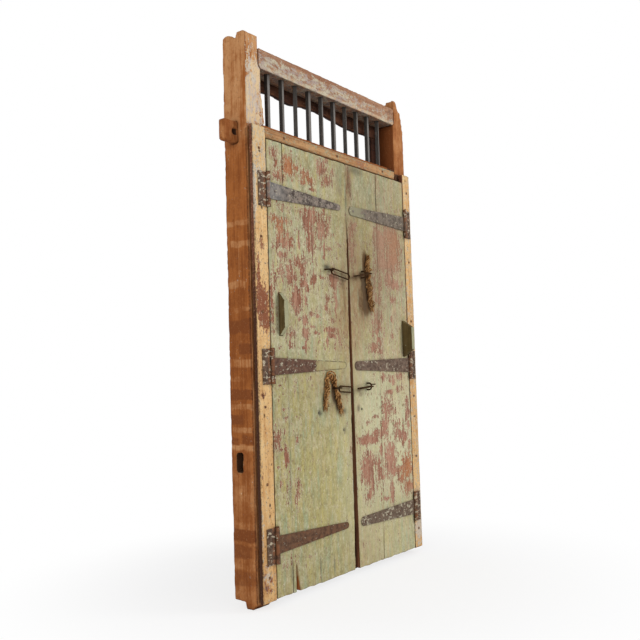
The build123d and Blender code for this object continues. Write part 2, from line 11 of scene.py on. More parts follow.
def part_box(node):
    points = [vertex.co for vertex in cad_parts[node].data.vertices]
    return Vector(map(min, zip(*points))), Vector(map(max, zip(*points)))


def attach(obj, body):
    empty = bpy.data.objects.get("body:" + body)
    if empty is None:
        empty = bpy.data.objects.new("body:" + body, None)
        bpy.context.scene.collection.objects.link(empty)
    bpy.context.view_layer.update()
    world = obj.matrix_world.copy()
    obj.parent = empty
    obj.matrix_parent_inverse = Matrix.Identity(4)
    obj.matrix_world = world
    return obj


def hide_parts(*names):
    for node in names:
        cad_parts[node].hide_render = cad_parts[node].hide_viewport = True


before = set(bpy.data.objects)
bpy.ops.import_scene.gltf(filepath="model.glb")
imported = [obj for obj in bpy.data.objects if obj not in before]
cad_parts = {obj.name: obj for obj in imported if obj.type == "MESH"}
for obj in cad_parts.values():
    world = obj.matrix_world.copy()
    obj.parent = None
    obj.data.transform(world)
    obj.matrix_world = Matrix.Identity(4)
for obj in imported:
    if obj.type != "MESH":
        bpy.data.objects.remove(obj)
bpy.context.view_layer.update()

# Camera of the photograph, in the frame of the part
eye = Vector((-3.0558, -2.1494, 0.9108))
look_right = Vector((0.59744, -0.801344, -0.030218))
look_up = Vector((-0.035171, -0.063831, 0.997341))
look_back = Vector((-0.801142, -0.594788, -0.066319))
lens_mm = 46.0
sensor_mm = 36.0

# Planes and places of the CAD parts, in metres
front_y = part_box("left_plank_wide")[0][1]
foot_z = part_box("left_plank_wide")[0][2]
leaf_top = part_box("left_plank_wide")[1][2]
casing_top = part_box("left_casing")[1][2]
rail_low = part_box("top_rail")[0][2]
pin_x = (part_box("right_pins")[0][0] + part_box("right_pins")[1][0]) / 2

# Mark on the paint where the broken strap of the left leaf used to run on
broken_low, broken_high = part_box("left_strap_middle")
ghost_start = broken_high[0]
ghost_z = (broken_low[2] + broken_high[2]) / 2
ghost_length = 0.2265
ghost_half = 0.0235
ghost_taper = -0.042
ghost_tip = 0.014

# Worn spots of the leaves: x and height of the middle, half width, half height in millimetres, amount
left_flakes = [
    (-490, 1830, 36, 26, 0.75), (-468, 1790, 20, 40, 0.6), (-387, 1795, 42, 44, 0.95),
    (-336, 1790, 22, 16, 0.8), (-462, 1738, 58, 20, 0.7), (-276, 1772, 40, 26, 0.95),
    (-232, 1756, 26, 18, 0.9), (-222, 1720, 26, 9, 0.9), (-300, 1742, 32, 10, 0.75),
    (-150, 1828, 40, 44, 1.0), (-116, 1872, 13, 22, 0.9), (-108, 1782, 30, 30, 0.95),
    (-70, 1826, 15, 20, 0.8), (-140, 1764, 22, 20, 0.8), (-440, 1612, 45, 16, 0.5),
    (-468, 1552, 58, 17, 0.85), (-455, 1518, 30, 26, 0.85), (-432, 1468, 48, 38, 0.8),
    (-398, 1452, 26, 26, 0.75), (-482, 1438, 20, 12, 0.7), (-448, 1412, 30, 16, 0.8),
    (-246, 1622, 54, 20, 0.75), (-264, 1568, 46, 44, 0.95), (-246, 1488, 30, 62, 0.85),
    (-222, 1580, 20, 32, 0.8), (-156, 1560, 46, 52, 0.95), (-145, 1634, 11, 26, 0.9),
    (-176, 1470, 9, 30, 0.8), (-150, 1470, 9, 28, 0.8), (-85, 1536, 20, 9, 0.7), (-105, 1608, 9, 16, 0.75),
    (-120, 1470, 26, 9, 0.75), (-75, 1482, 13, 9, 0.7), (-35, 1492, 42, 16, 0.5), (-156, 1426, 10, 11, 0.75),
    (-330, 1478, 6, 44, 0.7), (-340, 1382, 22, 30, 0.75), (-310, 1370, 18, 40, 0.8),
    (-390, 1332, 42, 50, 0.8), (-460, 1340, 26, 40, 0.65), (-502, 1312, 26, 50, 0.55),
    (-304, 1300, 26, 30, 0.7), (-230, 1326, 16, 22, 0.95), (-246, 1310, 22, 10, 0.8),
    (-172, 1334, 20, 9, 0.7), (-82, 1330, 46, 28, 1.0), (-75, 1250, 14, 60, 0.75), (-356, 1230, 36, 40, 0.95),
    (-360, 1190, 26, 20, 0.75), (-286, 1290, 16, 26, 0.8), (-295, 1230, 8, 20, 0.8),
    (-260, 1170, 16, 13, 0.8), (-215, 1163, 17, 7, 0.85), (-305, 1140, 17, 22, 0.9),
    (-336, 1145, 13, 9, 0.75), (-300, 1086, 19, 27, 0.95), (-306, 1042, 7, 26, 0.9),
    (-315, 1025, 22, 8, 0.85), (-140, 1246, 13, 24, 0.85), (-150, 1205, 14, 10, 0.85),
    (-76, 1206, 9, 13, 0.9), (-124, 1250, 6, 22, 0.75), (-105, 1146, 22, 11, 0.85),
    (-122, 1106, 42, 11, 0.95), (-110, 1080, 27, 13, 0.9), (-146, 1050, 9, 24, 0.85),
    (-50, 1062, 36, 30, 0.5), (-404, 1036, 20, 16, 0.65), (-402, 1082, 26, 20, 0.6), (-480, 1026, 11, 9, 0.6),
    (-250, 1116, 13, 7, 0.75), (-222, 1090, 22, 7, 0.7), (-521, 1210, 13, 100, 0.7), (-281, 893, 10, 9, 0.8),
    (-266, 863, 8, 7, 0.75), (-485, 873, 9, 10, 0.7), (-386, 848, 10, 28, 0.45), (-455, 773, 14, 6, 0.8),
    (-455, 735, 12, 14, 0.6), (-460, 680, 9, 14, 0.65), (-381, 740, 11, 9, 0.6), (-512, 650, 23, 46, 0.8),
    (-455, 580, 15, 36, 0.9), (-480, 612, 32, 6, 0.75), (-382, 640, 9, 17, 0.85), (-386, 432, 19, 60, 0.95),
    (-375, 524, 22, 11, 0.55), (-452, 442, 7, 44, 0.65), (-433, 462, 6, 40, 0.6), (-490, 480, 10, 20, 0.6),
    (-506, 545, 11, 7, 0.75), (-450, 162, 40, 26, 0.5), (-320, 155, 16, 6, 0.7), (10, 560, 8, 60, 0.6),
    (12, 430, 7, 50, 0.6),
]
right_flakes = [
    (54, 1790, 15, 80, 0.7), (76, 1582, 34, 26, 0.85), (98, 1602, 20, 14, 0.75), (62, 1490, 32, 100, 0.75),
    (306, 1560, 46, 66, 0.95), (322, 1460, 50, 60, 0.85), (392, 1580, 70, 46, 0.9), (440, 1556, 46, 80, 0.95),
    (420, 1468, 62, 60, 0.8), (380, 1370, 32, 40, 0.7), (430, 1345, 62, 22, 0.75), (300, 1330, 20, 50, 0.55),
    (260, 1150, 44, 90, 0.6), (292, 1240, 20, 90, 0.6), (412, 1268, 22, 20, 0.7), (405, 1170, 13, 16, 0.75),
    (402, 1090, 16, 22, 0.7), (236, 1030, 52, 26, 0.75), (282, 1012, 22, 16, 0.75), (300, 885, 13, 22, 0.85),
    (385, 870, 26, 22, 0.85), (450, 890, 36, 20, 0.7), (352, 815, 42, 11, 0.8), (440, 832, 40, 20, 0.6),
    (310, 738, 22, 64, 0.85), (352, 742, 40, 40, 0.75), (300, 650, 36, 42, 0.9), (512, 700, 19, 95, 0.8),
    (222, 702, 30, 9, 0.7), (150, 680, 32, 10, 0.55), (146, 600, 104, 20, 0.95), (250, 622, 62, 20, 0.8),
    (140, 502, 46, 36, 0.9), (136, 450, 42, 62, 0.95), (190, 490, 30, 20, 0.8), (250, 442, 42, 62, 0.65),
    (340, 496, 44, 74, 0.95), (347, 350, 15, 64, 0.85), (382, 432, 52, 24, 0.85), (444, 602, 62, 32, 0.75),
    (472, 590, 30, 44, 0.8), (498, 442, 52, 54, 0.95), (440, 390, 42, 20, 0.85), (498, 342, 48, 42, 0.8),
    (170, 380, 30, 42, 0.75), (150, 340, 42, 18, 0.75), (282, 310, 32, 10, 0.7), (350, 310, 16, 16, 0.7),
    (521, 520, 16, 64, 0.75), (420, 660, 50, 26, 0.5), (262, 540, 14, 30, 0.75), (250, 1300, 24, 130, 0.55),
    (226, 1190, 18, 170, 0.5), (272, 1060, 30, 70, 0.55),
]
# Broad areas where paint flakes all over
left_thin = [
    (-260, 1190, 300, 250, 1.35), (-330, 1420, 240, 480, 1.0), (-130, 1300, 160, 420, 0.9),
    (-480, 700, 90, 330, 0.8), (-420, 150, 140, 120, 0.4),
]
right_thin = [
    (400, 1450, 220, 300, 1.5), (320, 1050, 240, 340, 1.1), (280, 540, 320, 330, 1.2),
    (60, 1500, 50, 200, 0.6),
]
# Spots where the bare wood is orange, and where hands, chains and ropes have rubbed the paint brown
orange_spots = [
    (-387, 1795, 60, 60, 1), (-392, 80, 16, 70, 1), (498, 430, 70, 90, 1), (450, 1530, 70, 90, 0.5),
    (-470, 1540, 70, 60, 0.7), (-285, 1765, 60, 40, 0.6),
]
rubbed_spots = [
    (5, 1200, 60, 190, 0.9), (92, 1260, 72, 190, 0.95), (175, 1330, 40, 140, 0.8), (62, 1500, 44, 140, 0.95),
    (-20, 830, 60, 80, 0.7), (-40, 1140, 70, 110, 0.8), (75, 1100, 50, 120, 0.8), (60, 900, 50, 90, 0.6),
    (-110, 820, 60, 70, 0.5), (100, 120, 110, 120, 0.4), (60, 660, 30, 160, 0.5), (10, 640, 14, 200, 0.6),
    (-190, 850, 60, 60, 0.35), (54, 1790, 18, 90, 0.9), (-60, 1330, 60, 60, 0.5),
]
# Areas where the paint is olive or blue
olive_spots = [
    (-250, 420, 320, 330, 0.9), (-120, 880, 140, 180, 0.5), (180, 1540, 70, 130, 1.2),
    (300, 180, 260, 120, 0.6), (-400, 850, 160, 130, 0.9), (220, 1080, 160, 200, 0.5),
    (-40, 1520, 60, 160, 0.5),
]
blue_spots = [
    (-310, 430, 50, 90, 0.8), (-300, 1715, 160, 24, 0.7), (-400, 1010, 140, 30, 0.7),
    (430, 1230, 90, 90, 0.8), (-420, 1880, 90, 24, 0.6), (480, 80, 90, 50, 0.8), (-260, 100, 40, 60, 0.7),
    (200, 780, 60, 60, 0.5), (-220, 770, 40, 60, 0.5), (-440, 880, 60, 140, 0.4), (350, 1870, 60, 40, 0.7),
    (-300, 1560, 60, 60, 0.3), (470, 60, 120, 40, 0.6), (-330, 90, 120, 60, 0.3), (200, 1760, 140, 100, 0.6),
    (430, 1760, 90, 100, 0.5),
]
# Old bolts, and all dark spots, among them painted shadows beside the ropes
bolt_spots = [
    (-219, 745, 15, 17, 1.0), (-31, 743, 15, 17, 0.8), (-35, 659, 14, 20, 0.7), (80, 751, 15, 18, 0.9),
]
dark_spots = bolt_spots + [
    (110, 1866, 70, 22, 0.7), (-62, 941, 7, 7, 1.0), (158, 1330, 26, 70, 0.5), (160, 1240, 20, 50, 0.45),
    (-245, 88, 5, 52, 0.8), (-144, 84, 5, 46, 0.8), (-440, 120, 4, 60, 0.5), (-136, 1384, 26, 15, 1.2),
    (-110, 806, 26, 54, 0.6), (158, 858, 24, 14, 0.4), (-533, 1200, 5, 700, 0.5),
]
# Brown stains of ropes and iron, with painted shadows cast by the ropes, chalky paint and dull paint
brown_spots = [
    (170, 1430, 18, 60, 1.3), (160, 1360, 34, 28, 1.3), (162, 1300, 30, 56, 1.2), (168, 1235, 34, 56, 1.3),
    (138, 1240, 34, 90, 0.7), (140, 1372, 34, 16, 0.8), (90, 1352, 50, 24, 0.5), (60, 1800, 26, 70, 0.6),
    (-6, 1240, 14, 160, 0.5), (-20, 1330, 20, 60, 0.5), (100, 836, 60, 16, 0.5), (112, 814, 36, 14, 0.5),
    (-112, 836, 18, 50, 1.2), (-90, 786, 15, 46, 1.0), (-20, 1780, 40, 110, 0.35),
]
chalky_spots = [
    (220, 700, 170, 200, 0.8), (180, 330, 170, 220, 0.6), (420, 760, 120, 160, 0.4),
    (300, 1000, 200, 120, 0.3), (-440, 1060, 100, 60, 0.3), (-300, 960, 200, 20, 0.3),
    (110, 780, 80, 130, 0.6), (400, 560, 180, 200, 1.0), (340, 150, 240, 120, 0.45),
    (300, 420, 260, 200, 0.5), (-240, 1180, 220, 200, 0.15),
]
dull_spots = [
    (300, 1640, 260, 260, 0.6), (80, 1840, 120, 90, 0.5), (60, 1600, 60, 260, 0.6),
    (190, 1430, 170, 240, 0.8), (-60, 1420, 120, 160, 0.25), (-30, 900, 60, 120, 0.3),
    (-400, 850, 170, 130, 0.25), (-350, 90, 160, 60, 0.15),
]
# Saw bands on the left post: height and half height in millimetres, first and last part of depth, amount
saw_bands = [
    (1532, 12, 0, 1, 0.5), (1445, 13, 0, 0.8, 0.6), (1282, 16, 0.2, 1, 0.6), (1180, 10, 0, 0.7, 0.4),
    (965, 16, 0, 1, 0.7), (790, 11, 0, 1, 0.6), (700, 11, 0.1, 0.9, 0.6), (630, 11, 0, 1, 0.7),
    (440, 42, 0, 1, 0.5), (330, 9, 0, 1, 0.5), (165, 12, 0.1, 1, 0.5), (900, 9, 0.3, 1, 0.4),
    (1112, 28, 0, 1, -0.6), (1020, 20, 0, 0.55, -0.6), (838, 22, 0, 1, -0.6), (740, 19, 0.45, 1, -0.6),
    (662, 20, 0, 0.5, -0.5), (655, 16, 0.65, 1, -0.5), (285, 24, 0, 1, -0.6), (222, 28, 0.2, 1, -0.5),
    (1380, 40, 0, 1, -0.3), (1600, 40, 0, 1, -0.25), (1750, 50, 0, 1, -0.2), (120, 30, 0, 1, -0.4),
]
# Nail holes, knots and stains of the casing boards
casing_stains = [
    (-575, 1822, 7, 8, 1.0), (-569, 1590, 8, 9, 1.0), (-585, 755, 9, 12, 0.8), (-565, 402, 7, 9, 0.9),
    (-565, 360, 7, 9, 0.9), (-590, 835, 14, 20, 0.6), (-612, 1500, 7, 420, 0.55), (-613, 700, 6, 600, 0.55),
    (578, 1898, 7, 8, 0.9), (580, 1553, 6, 6, 0.8), (578, 1487, 6, 6, 0.8), (585, 684, 13, 5, 1.0),
    (585, 122, 6, 7, 0.8), (616, 1200, 6, 700, 0.6), (-540, 1000, 4, 900, 0.4), (552, 1000, 4, 900, 0.4),
    (-560, 1700, 10, 6, 0.7), (-596, 1680, 6, 10, 0.7), (-580, 1400, 5, 8, 0.7), (-550, 560, 5, 7, 0.7),
    (-600, 250, 6, 12, 0.6), (-570, 140, 14, 20, 0.5), (-600, 90, 12, 24, 0.5),
]
# Chalky and red remains of paint on the casing boards and the left post
casing_chalk = [
    (-614, 1640, 13, 120, 1.0), (-612, 330, 10, 130, 0.5), (-598, 2165, 22, 26, 0.75),
    (-568, 2130, 14, 20, 0.7), (-604, 2040, 12, 50, 0.55), (-566, 2030, 12, 30, 0.5), (590, 130, 44, 80, 0.8),
    (578, 1690, 26, 50, 0.5), (-586, 130, 30, 60, 0.5), (-585, 1740, 30, 26, 0.6), (590, 1000, 10, 300, 0.4),
]
casing_reds = [
    (-578, 1190, 32, 80, 1.0), (-600, 1250, 14, 60, 0.8), (-560, 1130, 22, 40, 0.8), (-590, 838, 14, 20, 0.6),
    (-592, 88, 13, 14, 0.7), (-570, 112, 11, 12, 0.7), (-602, 138, 9, 14, 0.65), (-574, 74, 12, 10, 0.6),
    (-592, 168, 8, 12, 0.6), (-604, 108, 8, 12, 0.6), (-575, 1450, 20, 40, 0.4), (-600, 1320, 14, 80, 0.6),
    (170, 1907, 90, 30, 0.9), (-300, 1907, 120, 20, 0.4), (580, 300, 24, 60, 0.4), (590, 900, 14, 80, 0.4),
    (-604, 520, 6, 50, 0.3),
]


def srgb(red, green, blue):
    """Linear colour of an sRGB one given in 0 to 255."""
    shares = (red / 255, green / 255, blue / 255)
    return tuple(v / 12.92 if v <= 0.04045 else ((v + 0.055) / 1.055) ** 2.4 for v in shares) + (1.0,)


# Noise and spots on vertices
hash_steps = (127.1, 311.7, 74.7, 53.3)
hash_spread = 43758.5453


def lattice(x, y, z, seed):
    """A repeatable value from 0 to 1 at each lattice point."""
    along_x, along_y, along_z, along_seed = hash_steps
    mixed = np.sin(x * along_x + y * along_y + z * along_z + seed * along_seed) * hash_spread
    return mixed - np.floor(mixed)


def value_noise(points, cell, seed):
    """Smooth noise from 0 to 1 at points, with cells of the given size along each axis."""
    scaled = points / np.array(cell)
    base = np.floor(scaled)
    part = scaled - base
    part = part * part * (3 - 2 * part)
    total = np.zeros(len(points))
    for dx, dy, dz in itertools.product((0, 1), repeat=3):
        weight = np.abs(1 - dx - part[:, 0]) * np.abs(1 - dy - part[:, 1]) * np.abs(1 - dz - part[:, 2])
        total += weight * lattice(base[:, 0] + dx, base[:, 1] + dy, base[:, 2] + dz, seed)
    return total


def grain_cell(axis, across, along):
    """Size of a noise cell that is stretched along the grain."""
    cell = [across, across, across]
    cell[axis] = along
    return cell


def step(values, low, high):
    """0 up to low, 1 from high on, smooth between; low may be the larger."""
    share = np.clip((values - low) / (high - low), 0, 1)
    return share * share * (3 - 2 * share)


def spots(points, places, sharpness=1.0):
    """How strongly each point lies in one of the places, by x and z."""
    strongest = np.zeros(len(points))
    for x, z, half_x, half_z, amount in places:
        across = (points[:, 0] - x / 1000) / (half_x / 1000)
        up = (points[:, 2] - z / 1000) / (half_z / 1000)
        inward = 1 + sharpness * (1 - np.sqrt(across**2 + up**2))
        reach = np.clip(inward, 0, 1 + sharpness) / (1 + sharpness)
        strongest = np.maximum(strongest, amount * reach**2 * (3 - 2 * reach))
    return strongest


# Pieces and their meshes
def link_new(name, data):
    piece = bpy.data.objects.new(name, data)
    bpy.context.scene.collection.objects.link(piece)
    return piece


def vectors(items, name):
    """Rows of x, y and z read from the items of a mesh."""
    flat = np.empty(len(items) * 3)
    items.foreach_get(name, flat)
    return flat.reshape(-1, 3)


def corners_of(node):
    return vectors(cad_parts[node].data.vertices, "co")


def new_piece(name, points, faces, material):
    """A smooth piece from points and faces."""
    mesh = bpy.data.meshes.new(name)
    mesh.from_pydata(points, [], faces)
    mesh.shade_smooth()
    mesh.materials.append(material)
    return link_new(name, mesh)


def grid_faces(rows, width, closed):
    """Faces between neighbouring points of a grid, whose rows may close to rings."""
    faces = []
    for row, column in itertools.product(range(rows - 1), range(width if closed else width - 1)):
        low, high = row * width, (row + 1) * width
        following = (column + 1) % width
        faces.append((low + column, low + following, high + following, high + column))
    return faces


def place_vertices(mesh, points):
    mesh.vertices.foreach_set("co", points.ravel())


def mark(mesh, name, values):
    """Writes one number for each vertex, which materials read by name."""
    layer = mesh.attributes.new(name, "FLOAT", "POINT")
    layer.data.foreach_set("value", np.asarray(values, dtype=np.float32))


def evaluated_mesh(piece):
    """The mesh of a piece with its modifiers applied; the piece itself is removed."""
    mesh = bpy.data.meshes.new_from_object(piece.evaluated_get(bpy.context.evaluated_depsgraph_get()))
    bpy.data.objects.remove(piece)
    return mesh


# Relief of weathered wood: size across and along the grain, share of the depth
grain_relief = ((0.03, 0.35, 0.45), (0.011, 0.16, 0.35), (0.09, 0.5, 0.2))
# Bites out of the arrises: size, noise from which they start, share of the chip
arris_bites = ((0.035, 0.45, 1.0), (0.013, 0.5, 0.5))
bite_full = 0.9
# Largest part of the normal on a flat face and on an arris
flat_normal = 0.97
arris_normal = 0.75


def worn_copy(node, voxel, depth, chips, grain_axis, seed):
    """A fine mesh of a CAD node, chipped at the arrises and weathered along the grain, all within it."""
    source = link_new(node + "_source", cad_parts[node].data.copy())
    remesh = source.modifiers.new("fine", "REMESH")
    remesh.mode = "VOXEL"
    remesh.voxel_size = voxel
    mesh = evaluated_mesh(source)
    mesh.name = node + "_worn"
    mesh.materials.clear()
    points = vectors(mesh.vertices, "co")
    outward = vectors(mesh.vertex_normals, "vector")
    rough = np.zeros(len(points))
    for number, (across, along, share) in enumerate(grain_relief):
        rough += share * value_noise(points, grain_cell(grain_axis, across, along), seed + number)
    bites = np.zeros(len(points))
    for number, (size, start, share) in enumerate(arris_bites, start=len(grain_relief)):
        bites += share * step(value_noise(points, (size, size, size), seed + number), start, bite_full)
    arris = step(np.max(np.abs(outward), axis=1), flat_normal, arris_normal)
    points = points - outward * (depth * rough + chips * arris * bites)[:, None]
    place_vertices(mesh, points)
    mesh.shade_smooth()
    mesh.update()
    return mesh, points, outward, arris


def dress(node, mesh, material, body):
    """Stands the mesh in for its CAD node."""
    piece = link_new(node + "_worn", mesh)
    mesh.materials.append(material)
    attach(piece, body)
    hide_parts(node)


# Materials
class Nodes:
    """A small builder of node trees."""

    # Sockets of the Mix node that carry colours
    mix_first, mix_second, mix_result = 6, 7, 2

    def __init__(self, tree):
        self.nodes = tree.nodes
        self.links = tree.links

    def put(self, value, socket):
        if isinstance(value, bpy.types.NodeSocket):
            self.links.new(value, socket)
        else:
            socket.default_value = value

    def add(self, kind, inputs, output=0, **settings):
        """An output of a new node, whose inputs are linked or set to constants."""
        node = self.nodes.new("ShaderNode" + kind)
        for name, value in settings.items():
            setattr(node, name, value)
        for place, value in inputs.items():
            self.put(value, node.inputs[place])
        return node.outputs[output]

    def value(self, given):
        """A vertex mark for a name, a band for a value with its low and high, else what is given."""
        if isinstance(given, str):
            return self.add("Attribute", {}, "Fac", attribute_name=given)
        return self.band(*given) if isinstance(given, tuple) else given

    def math(self, operation, *terms):
        inputs = {place: self.value(term) for place, term in enumerate(terms)}
        return self.add("Math", inputs, operation=operation)

    def times(self, a, b):
        return self.math("MULTIPLY", a, b)

    def distance(self, value, middle):
        return self.math("ABSOLUTE", self.math("SUBTRACT", value, middle))

    def total(self, *terms):
        """The sum of values, each with its factor."""
        result = 0.0
        for value, factor in terms:
            result = self.math("MULTIPLY_ADD", value, factor, result)
        return result

    def band(self, value, low, high):
        """0 up to low, 1 from high on, smooth between; low may be the larger."""
        inputs = {"Value": value, "From Min": low, "From Max": high}
        return self.add("MapRange", inputs, "Result", interpolation_type="SMOOTHSTEP")

    def mix(self, share, first, second):
        inputs = {"Factor": self.value(share), self.mix_first: first, self.mix_second: second}
        return self.add("Mix", inputs, self.mix_result, data_type="RGBA")

    def blend(self, share, first, second):
        """A mix of two sRGB colours."""
        return self.mix(share, srgb(*first), srgb(*second))

    def layers(self, colour, *rows):
        """Tints laid over a colour in turn: where each lies, how strongly, and its sRGB value."""
        for where, amount, tint in rows:
            colour = self.mix(self.times(where, amount), colour, srgb(*tint))
        return colour


class Shader(Nodes):
    """A material, with noises and places in metres."""

    def __init__(self, name):
        self.material = bpy.data.materials.new(name)
        self.material.use_nodes = True
        super().__init__(self.material.node_tree)
        self.surface = self.nodes["Principled BSDF"]
        self.place = self.add("TexCoord", {}, "Object")

    def noise(self, cell, detail, roughness, seed):
        """Noise about 0 with features of the given size along x, y and z."""
        shift = (seed * 3.1, seed * 1.7, seed * 2.3)
        scale = tuple(1 / size for size in cell)
        vector = self.add("Mapping", {"Vector": self.place, "Location": shift, "Scale": scale}, "Vector")
        inputs = {"Vector": vector, "Scale": 1.0, "Detail": detail, "Roughness": roughness}
        return self.math("SUBTRACT", self.add("TexNoise", inputs, "Fac"), 0.5)

    def axis(self, name):
        return self.add("SeparateXYZ", {0: self.place}, name)

    def crevice_shade(self, reach):
        """1 deep in a corner, 0 in the open; used to paint shade into crevices and corners."""
        return self.math("SUBTRACT", 1.0, self.add("AmbientOcclusion", {"Distance": reach}, "AO", samples=6))

    def finish(self, colour, roughness, height, depth, metallic=0.0, shine=0.2):
        bump = self.add("Bump", {"Strength": 1.0, "Distance": depth, "Height": height})
        looks = {
            "Base Color": colour, "Roughness": roughness, "Metallic": metallic,
            "Specular IOR Level": shine, "Normal": bump,
        }
        for name, value in looks.items():
            self.put(value, self.surface.inputs[name])
        return self.material


# Noises of the leaves: size across and along the grain, detail, roughness
leaf_noises = {
    "blotch": (0.016, 0.042, 5, 0.7), "speck": (0.0045, 0.009, 2, 0.5), "streak": (0.006, 0.14, 3, 0.55),
    "cloud": (0.12, 0.2, 4, 0.6), "drip": (0.02, 0.4, 4, 0.6), "tint": (0.03, 0.2, 3, 0.5),
    "crumb": (0.007, 0.009, 3, 0.6), "mottle": (0.03, 0.05, 5, 0.72), "hue": (0.026, 0.16, 5, 0.65),
    "blush": (0.014, 0.16, 5, 0.65), "crack": (0.011, 0.016, 4, 0.7),
}


def leaf_wood(shader, noise):
    """Red-brown wood where the paint of a leaf is gone."""
    return shader.layers(
        shader.blend((noise.streak, -0.12, 0.12), (112, 66, 48), (164, 110, 84)),
        ((noise.tint, -0.1, 0.14), 0.6, (192, 152, 126)),
        ("pink", 0.45, (190, 142, 120)),
        ("orange", 0.7, (182, 118, 68)),
        ((noise.streak, 0.06, 0.14), 0.65, (90, 50, 38)),
        ((noise.crack, 0.04, 0.16), 0.6, (190, 164, 136)),
        ((noise.crack, -0.06, -0.16), 0.55, (112, 62, 46)),
    )


def leaf_coat(shader, noise, level):
    """Mottled sage paint, thin beside the bare wood with a painted highlight as its rim, rubbed brown by
    hands and chains.
    """
    thin = (level, 0.06, 0.36)
    edge_highlight = shader.times((level, 0.18, 0.28), (level, 0.34, 0.30))
    blushing = shader.total(("pink", 0.5), ("rubbed", 0.4), (1.0, 0.1))
    thinning = shader.total(("pink", 0.35), (1.0, 0.2))
    flaking = shader.total((thin, 0.5), (1.0, 0.5))
    return shader.layers(
        shader.blend((noise.cloud, -0.14, 0.14), (162, 154, 110), (178, 170, 130)),
        ("blue", 0.8, (160, 170, 140)),
        ("olive", 0.85, (170, 160, 100)),
        ((noise.hue, 0.0, 0.16), 0.6, (192, 178, 106)),
        ((noise.hue, 0.0, -0.16), 0.65, (152, 170, 140)),
        ((noise.blush, -0.04, 0.12), blushing, (196, 150, 124)),
        ((noise.mottle, 0.0, 0.18), 0.6, (200, 192, 158)),
        ((noise.mottle, 0.0, -0.18), 0.6, (136, 126, 86)),
        ((noise.drip, 0.02, 0.22), 0.45, (144, 138, 98)),
        ((noise.crack, 0.05, 0.15), flaking, (214, 206, 176)),
        ((noise.crack, -0.07, -0.16), flaking, (114, 88, 62)),
        ((noise.crumb, -0.1, -0.18), 0.7, (120, 84, 60)),
        (thin, thinning, (174, 138, 112)),
        # painted highlight along the edge of the paint
        (edge_highlight, 0.65, (212, 204, 176)),
        (shader.times("rubbed", (noise.blotch, -0.2, 0.12)), 0.95, (154, 112, 74)),
        ("chalky", 0.65, (212, 211, 174)),
    )


def strap_ghost(shader, front, mottle):
    """Lays the mark of the broken strap over the front of the leaf."""
    across = shader.math("SUBTRACT", shader.axis("X"), ghost_start)
    upright = shader.distance(shader.axis("Z"), ghost_z)
    half = shader.math("MULTIPLY_ADD", across, ghost_taper, ghost_half)
    past_tip = shader.math("MAXIMUM", shader.math("SUBTRACT", across, ghost_length - ghost_tip), 0.0)
    squares = shader.total((shader.times(past_tip, past_tip), 1.0), (shader.times(upright, upright), 1.0))
    inside = shader.math("MINIMUM", shader.math("SUBTRACT", half, upright), across)
    inside = shader.math("MINIMUM", inside, shader.math("SUBTRACT", half, shader.math("SQRT", squares)))
    ghost = (shader.math("ADD", inside, shader.times(mottle, 0.012)), 0.0, 0.002)
    outline = shader.times((inside, -0.003, -0.001), (inside, 0.003, 0.001))
    outline = shader.times(outline, (mottle, -0.14, 0.02))
    along = shader.total((across, 1.0), (mottle, 0.2))
    faded = shader.blend((along, 0.06, 0.14), (138, 116, 66), (178, 164, 116))
    marked = shader.mix(shader.times(ghost, 0.45), front, faded)
    return shader.layers(marked, (outline, 0.8, (84, 70, 48)))


def leaf_edge(shader, noise):
    """Bare brown wood on the edges and the back, orange in the split at the foot."""
    grain = shader.total((noise.streak, 0.8), (noise.drip, 0.7), (noise.blotch, 0.3))
    split = shader.times("orange", (shader.axis("Z"), 0.3, 0.2))
    brown = shader.blend((grain, -0.16, 0.16), (74, 40, 23), (122, 78, 50))
    return shader.layers(brown, (split, 1.0, (176, 104, 50)))


def leaf_material():
    """Sage paint on the front, flaked down to red-brown wood, and bare wood elsewhere."""
    shader = Shader("leaf_paint")
    noise = SimpleNamespace()
    for seed, (name, (across, along, detail, roughness)) in enumerate(leaf_noises.items(), start=1):
        setattr(noise, name, shader.noise((across, across, along), detail, roughness, seed))
    level = shader.total(("wear", 1.0), (noise.blotch, 1.8), (noise.speck, 1.1), (noise.streak, 0.8))
    bare = (level, 0.31, 0.38)
    shade = shader.times((level, 0.32, 0.37), (level, 0.46, 0.38))
    stain_and_rope_shadow = (shader.total(("brown", 1.0), (noise.mottle, 1.2)), 0.1, 0.9)
    front = shader.layers(
        shader.mix(bare, leaf_coat(shader, noise, level), leaf_wood(shader, noise)),
        (shade, 0.4, (86, 48, 34)),
        ("dull", 0.6, (124, 112, 84)),
        # brown stains of rust and ropes, and painted shadows cast by the ropes
        (stain_and_rope_shadow, 0.9, (86, 58, 30)),
        # dark spots: old bolts and marks, and painted shadows beside the ropes
        ("dark", 0.8, (72, 70, 58)),
    )
    front = strap_ghost(shader, front, noise.mottle)
    colour = shader.mix("front", leaf_edge(shader, noise), front)
    # Painted shade in crevices and corners of the leaf
    colour = shader.layers(colour, (shader.crevice_shade(0.02), 0.55, (58, 40, 26)))
    relief = shader.total((bare, -0.6), (noise.streak, 0.8), (noise.crack, 0.6), (noise.mottle, 0.4))
    return shader.finish(colour, 0.8, relief, 0.0016)


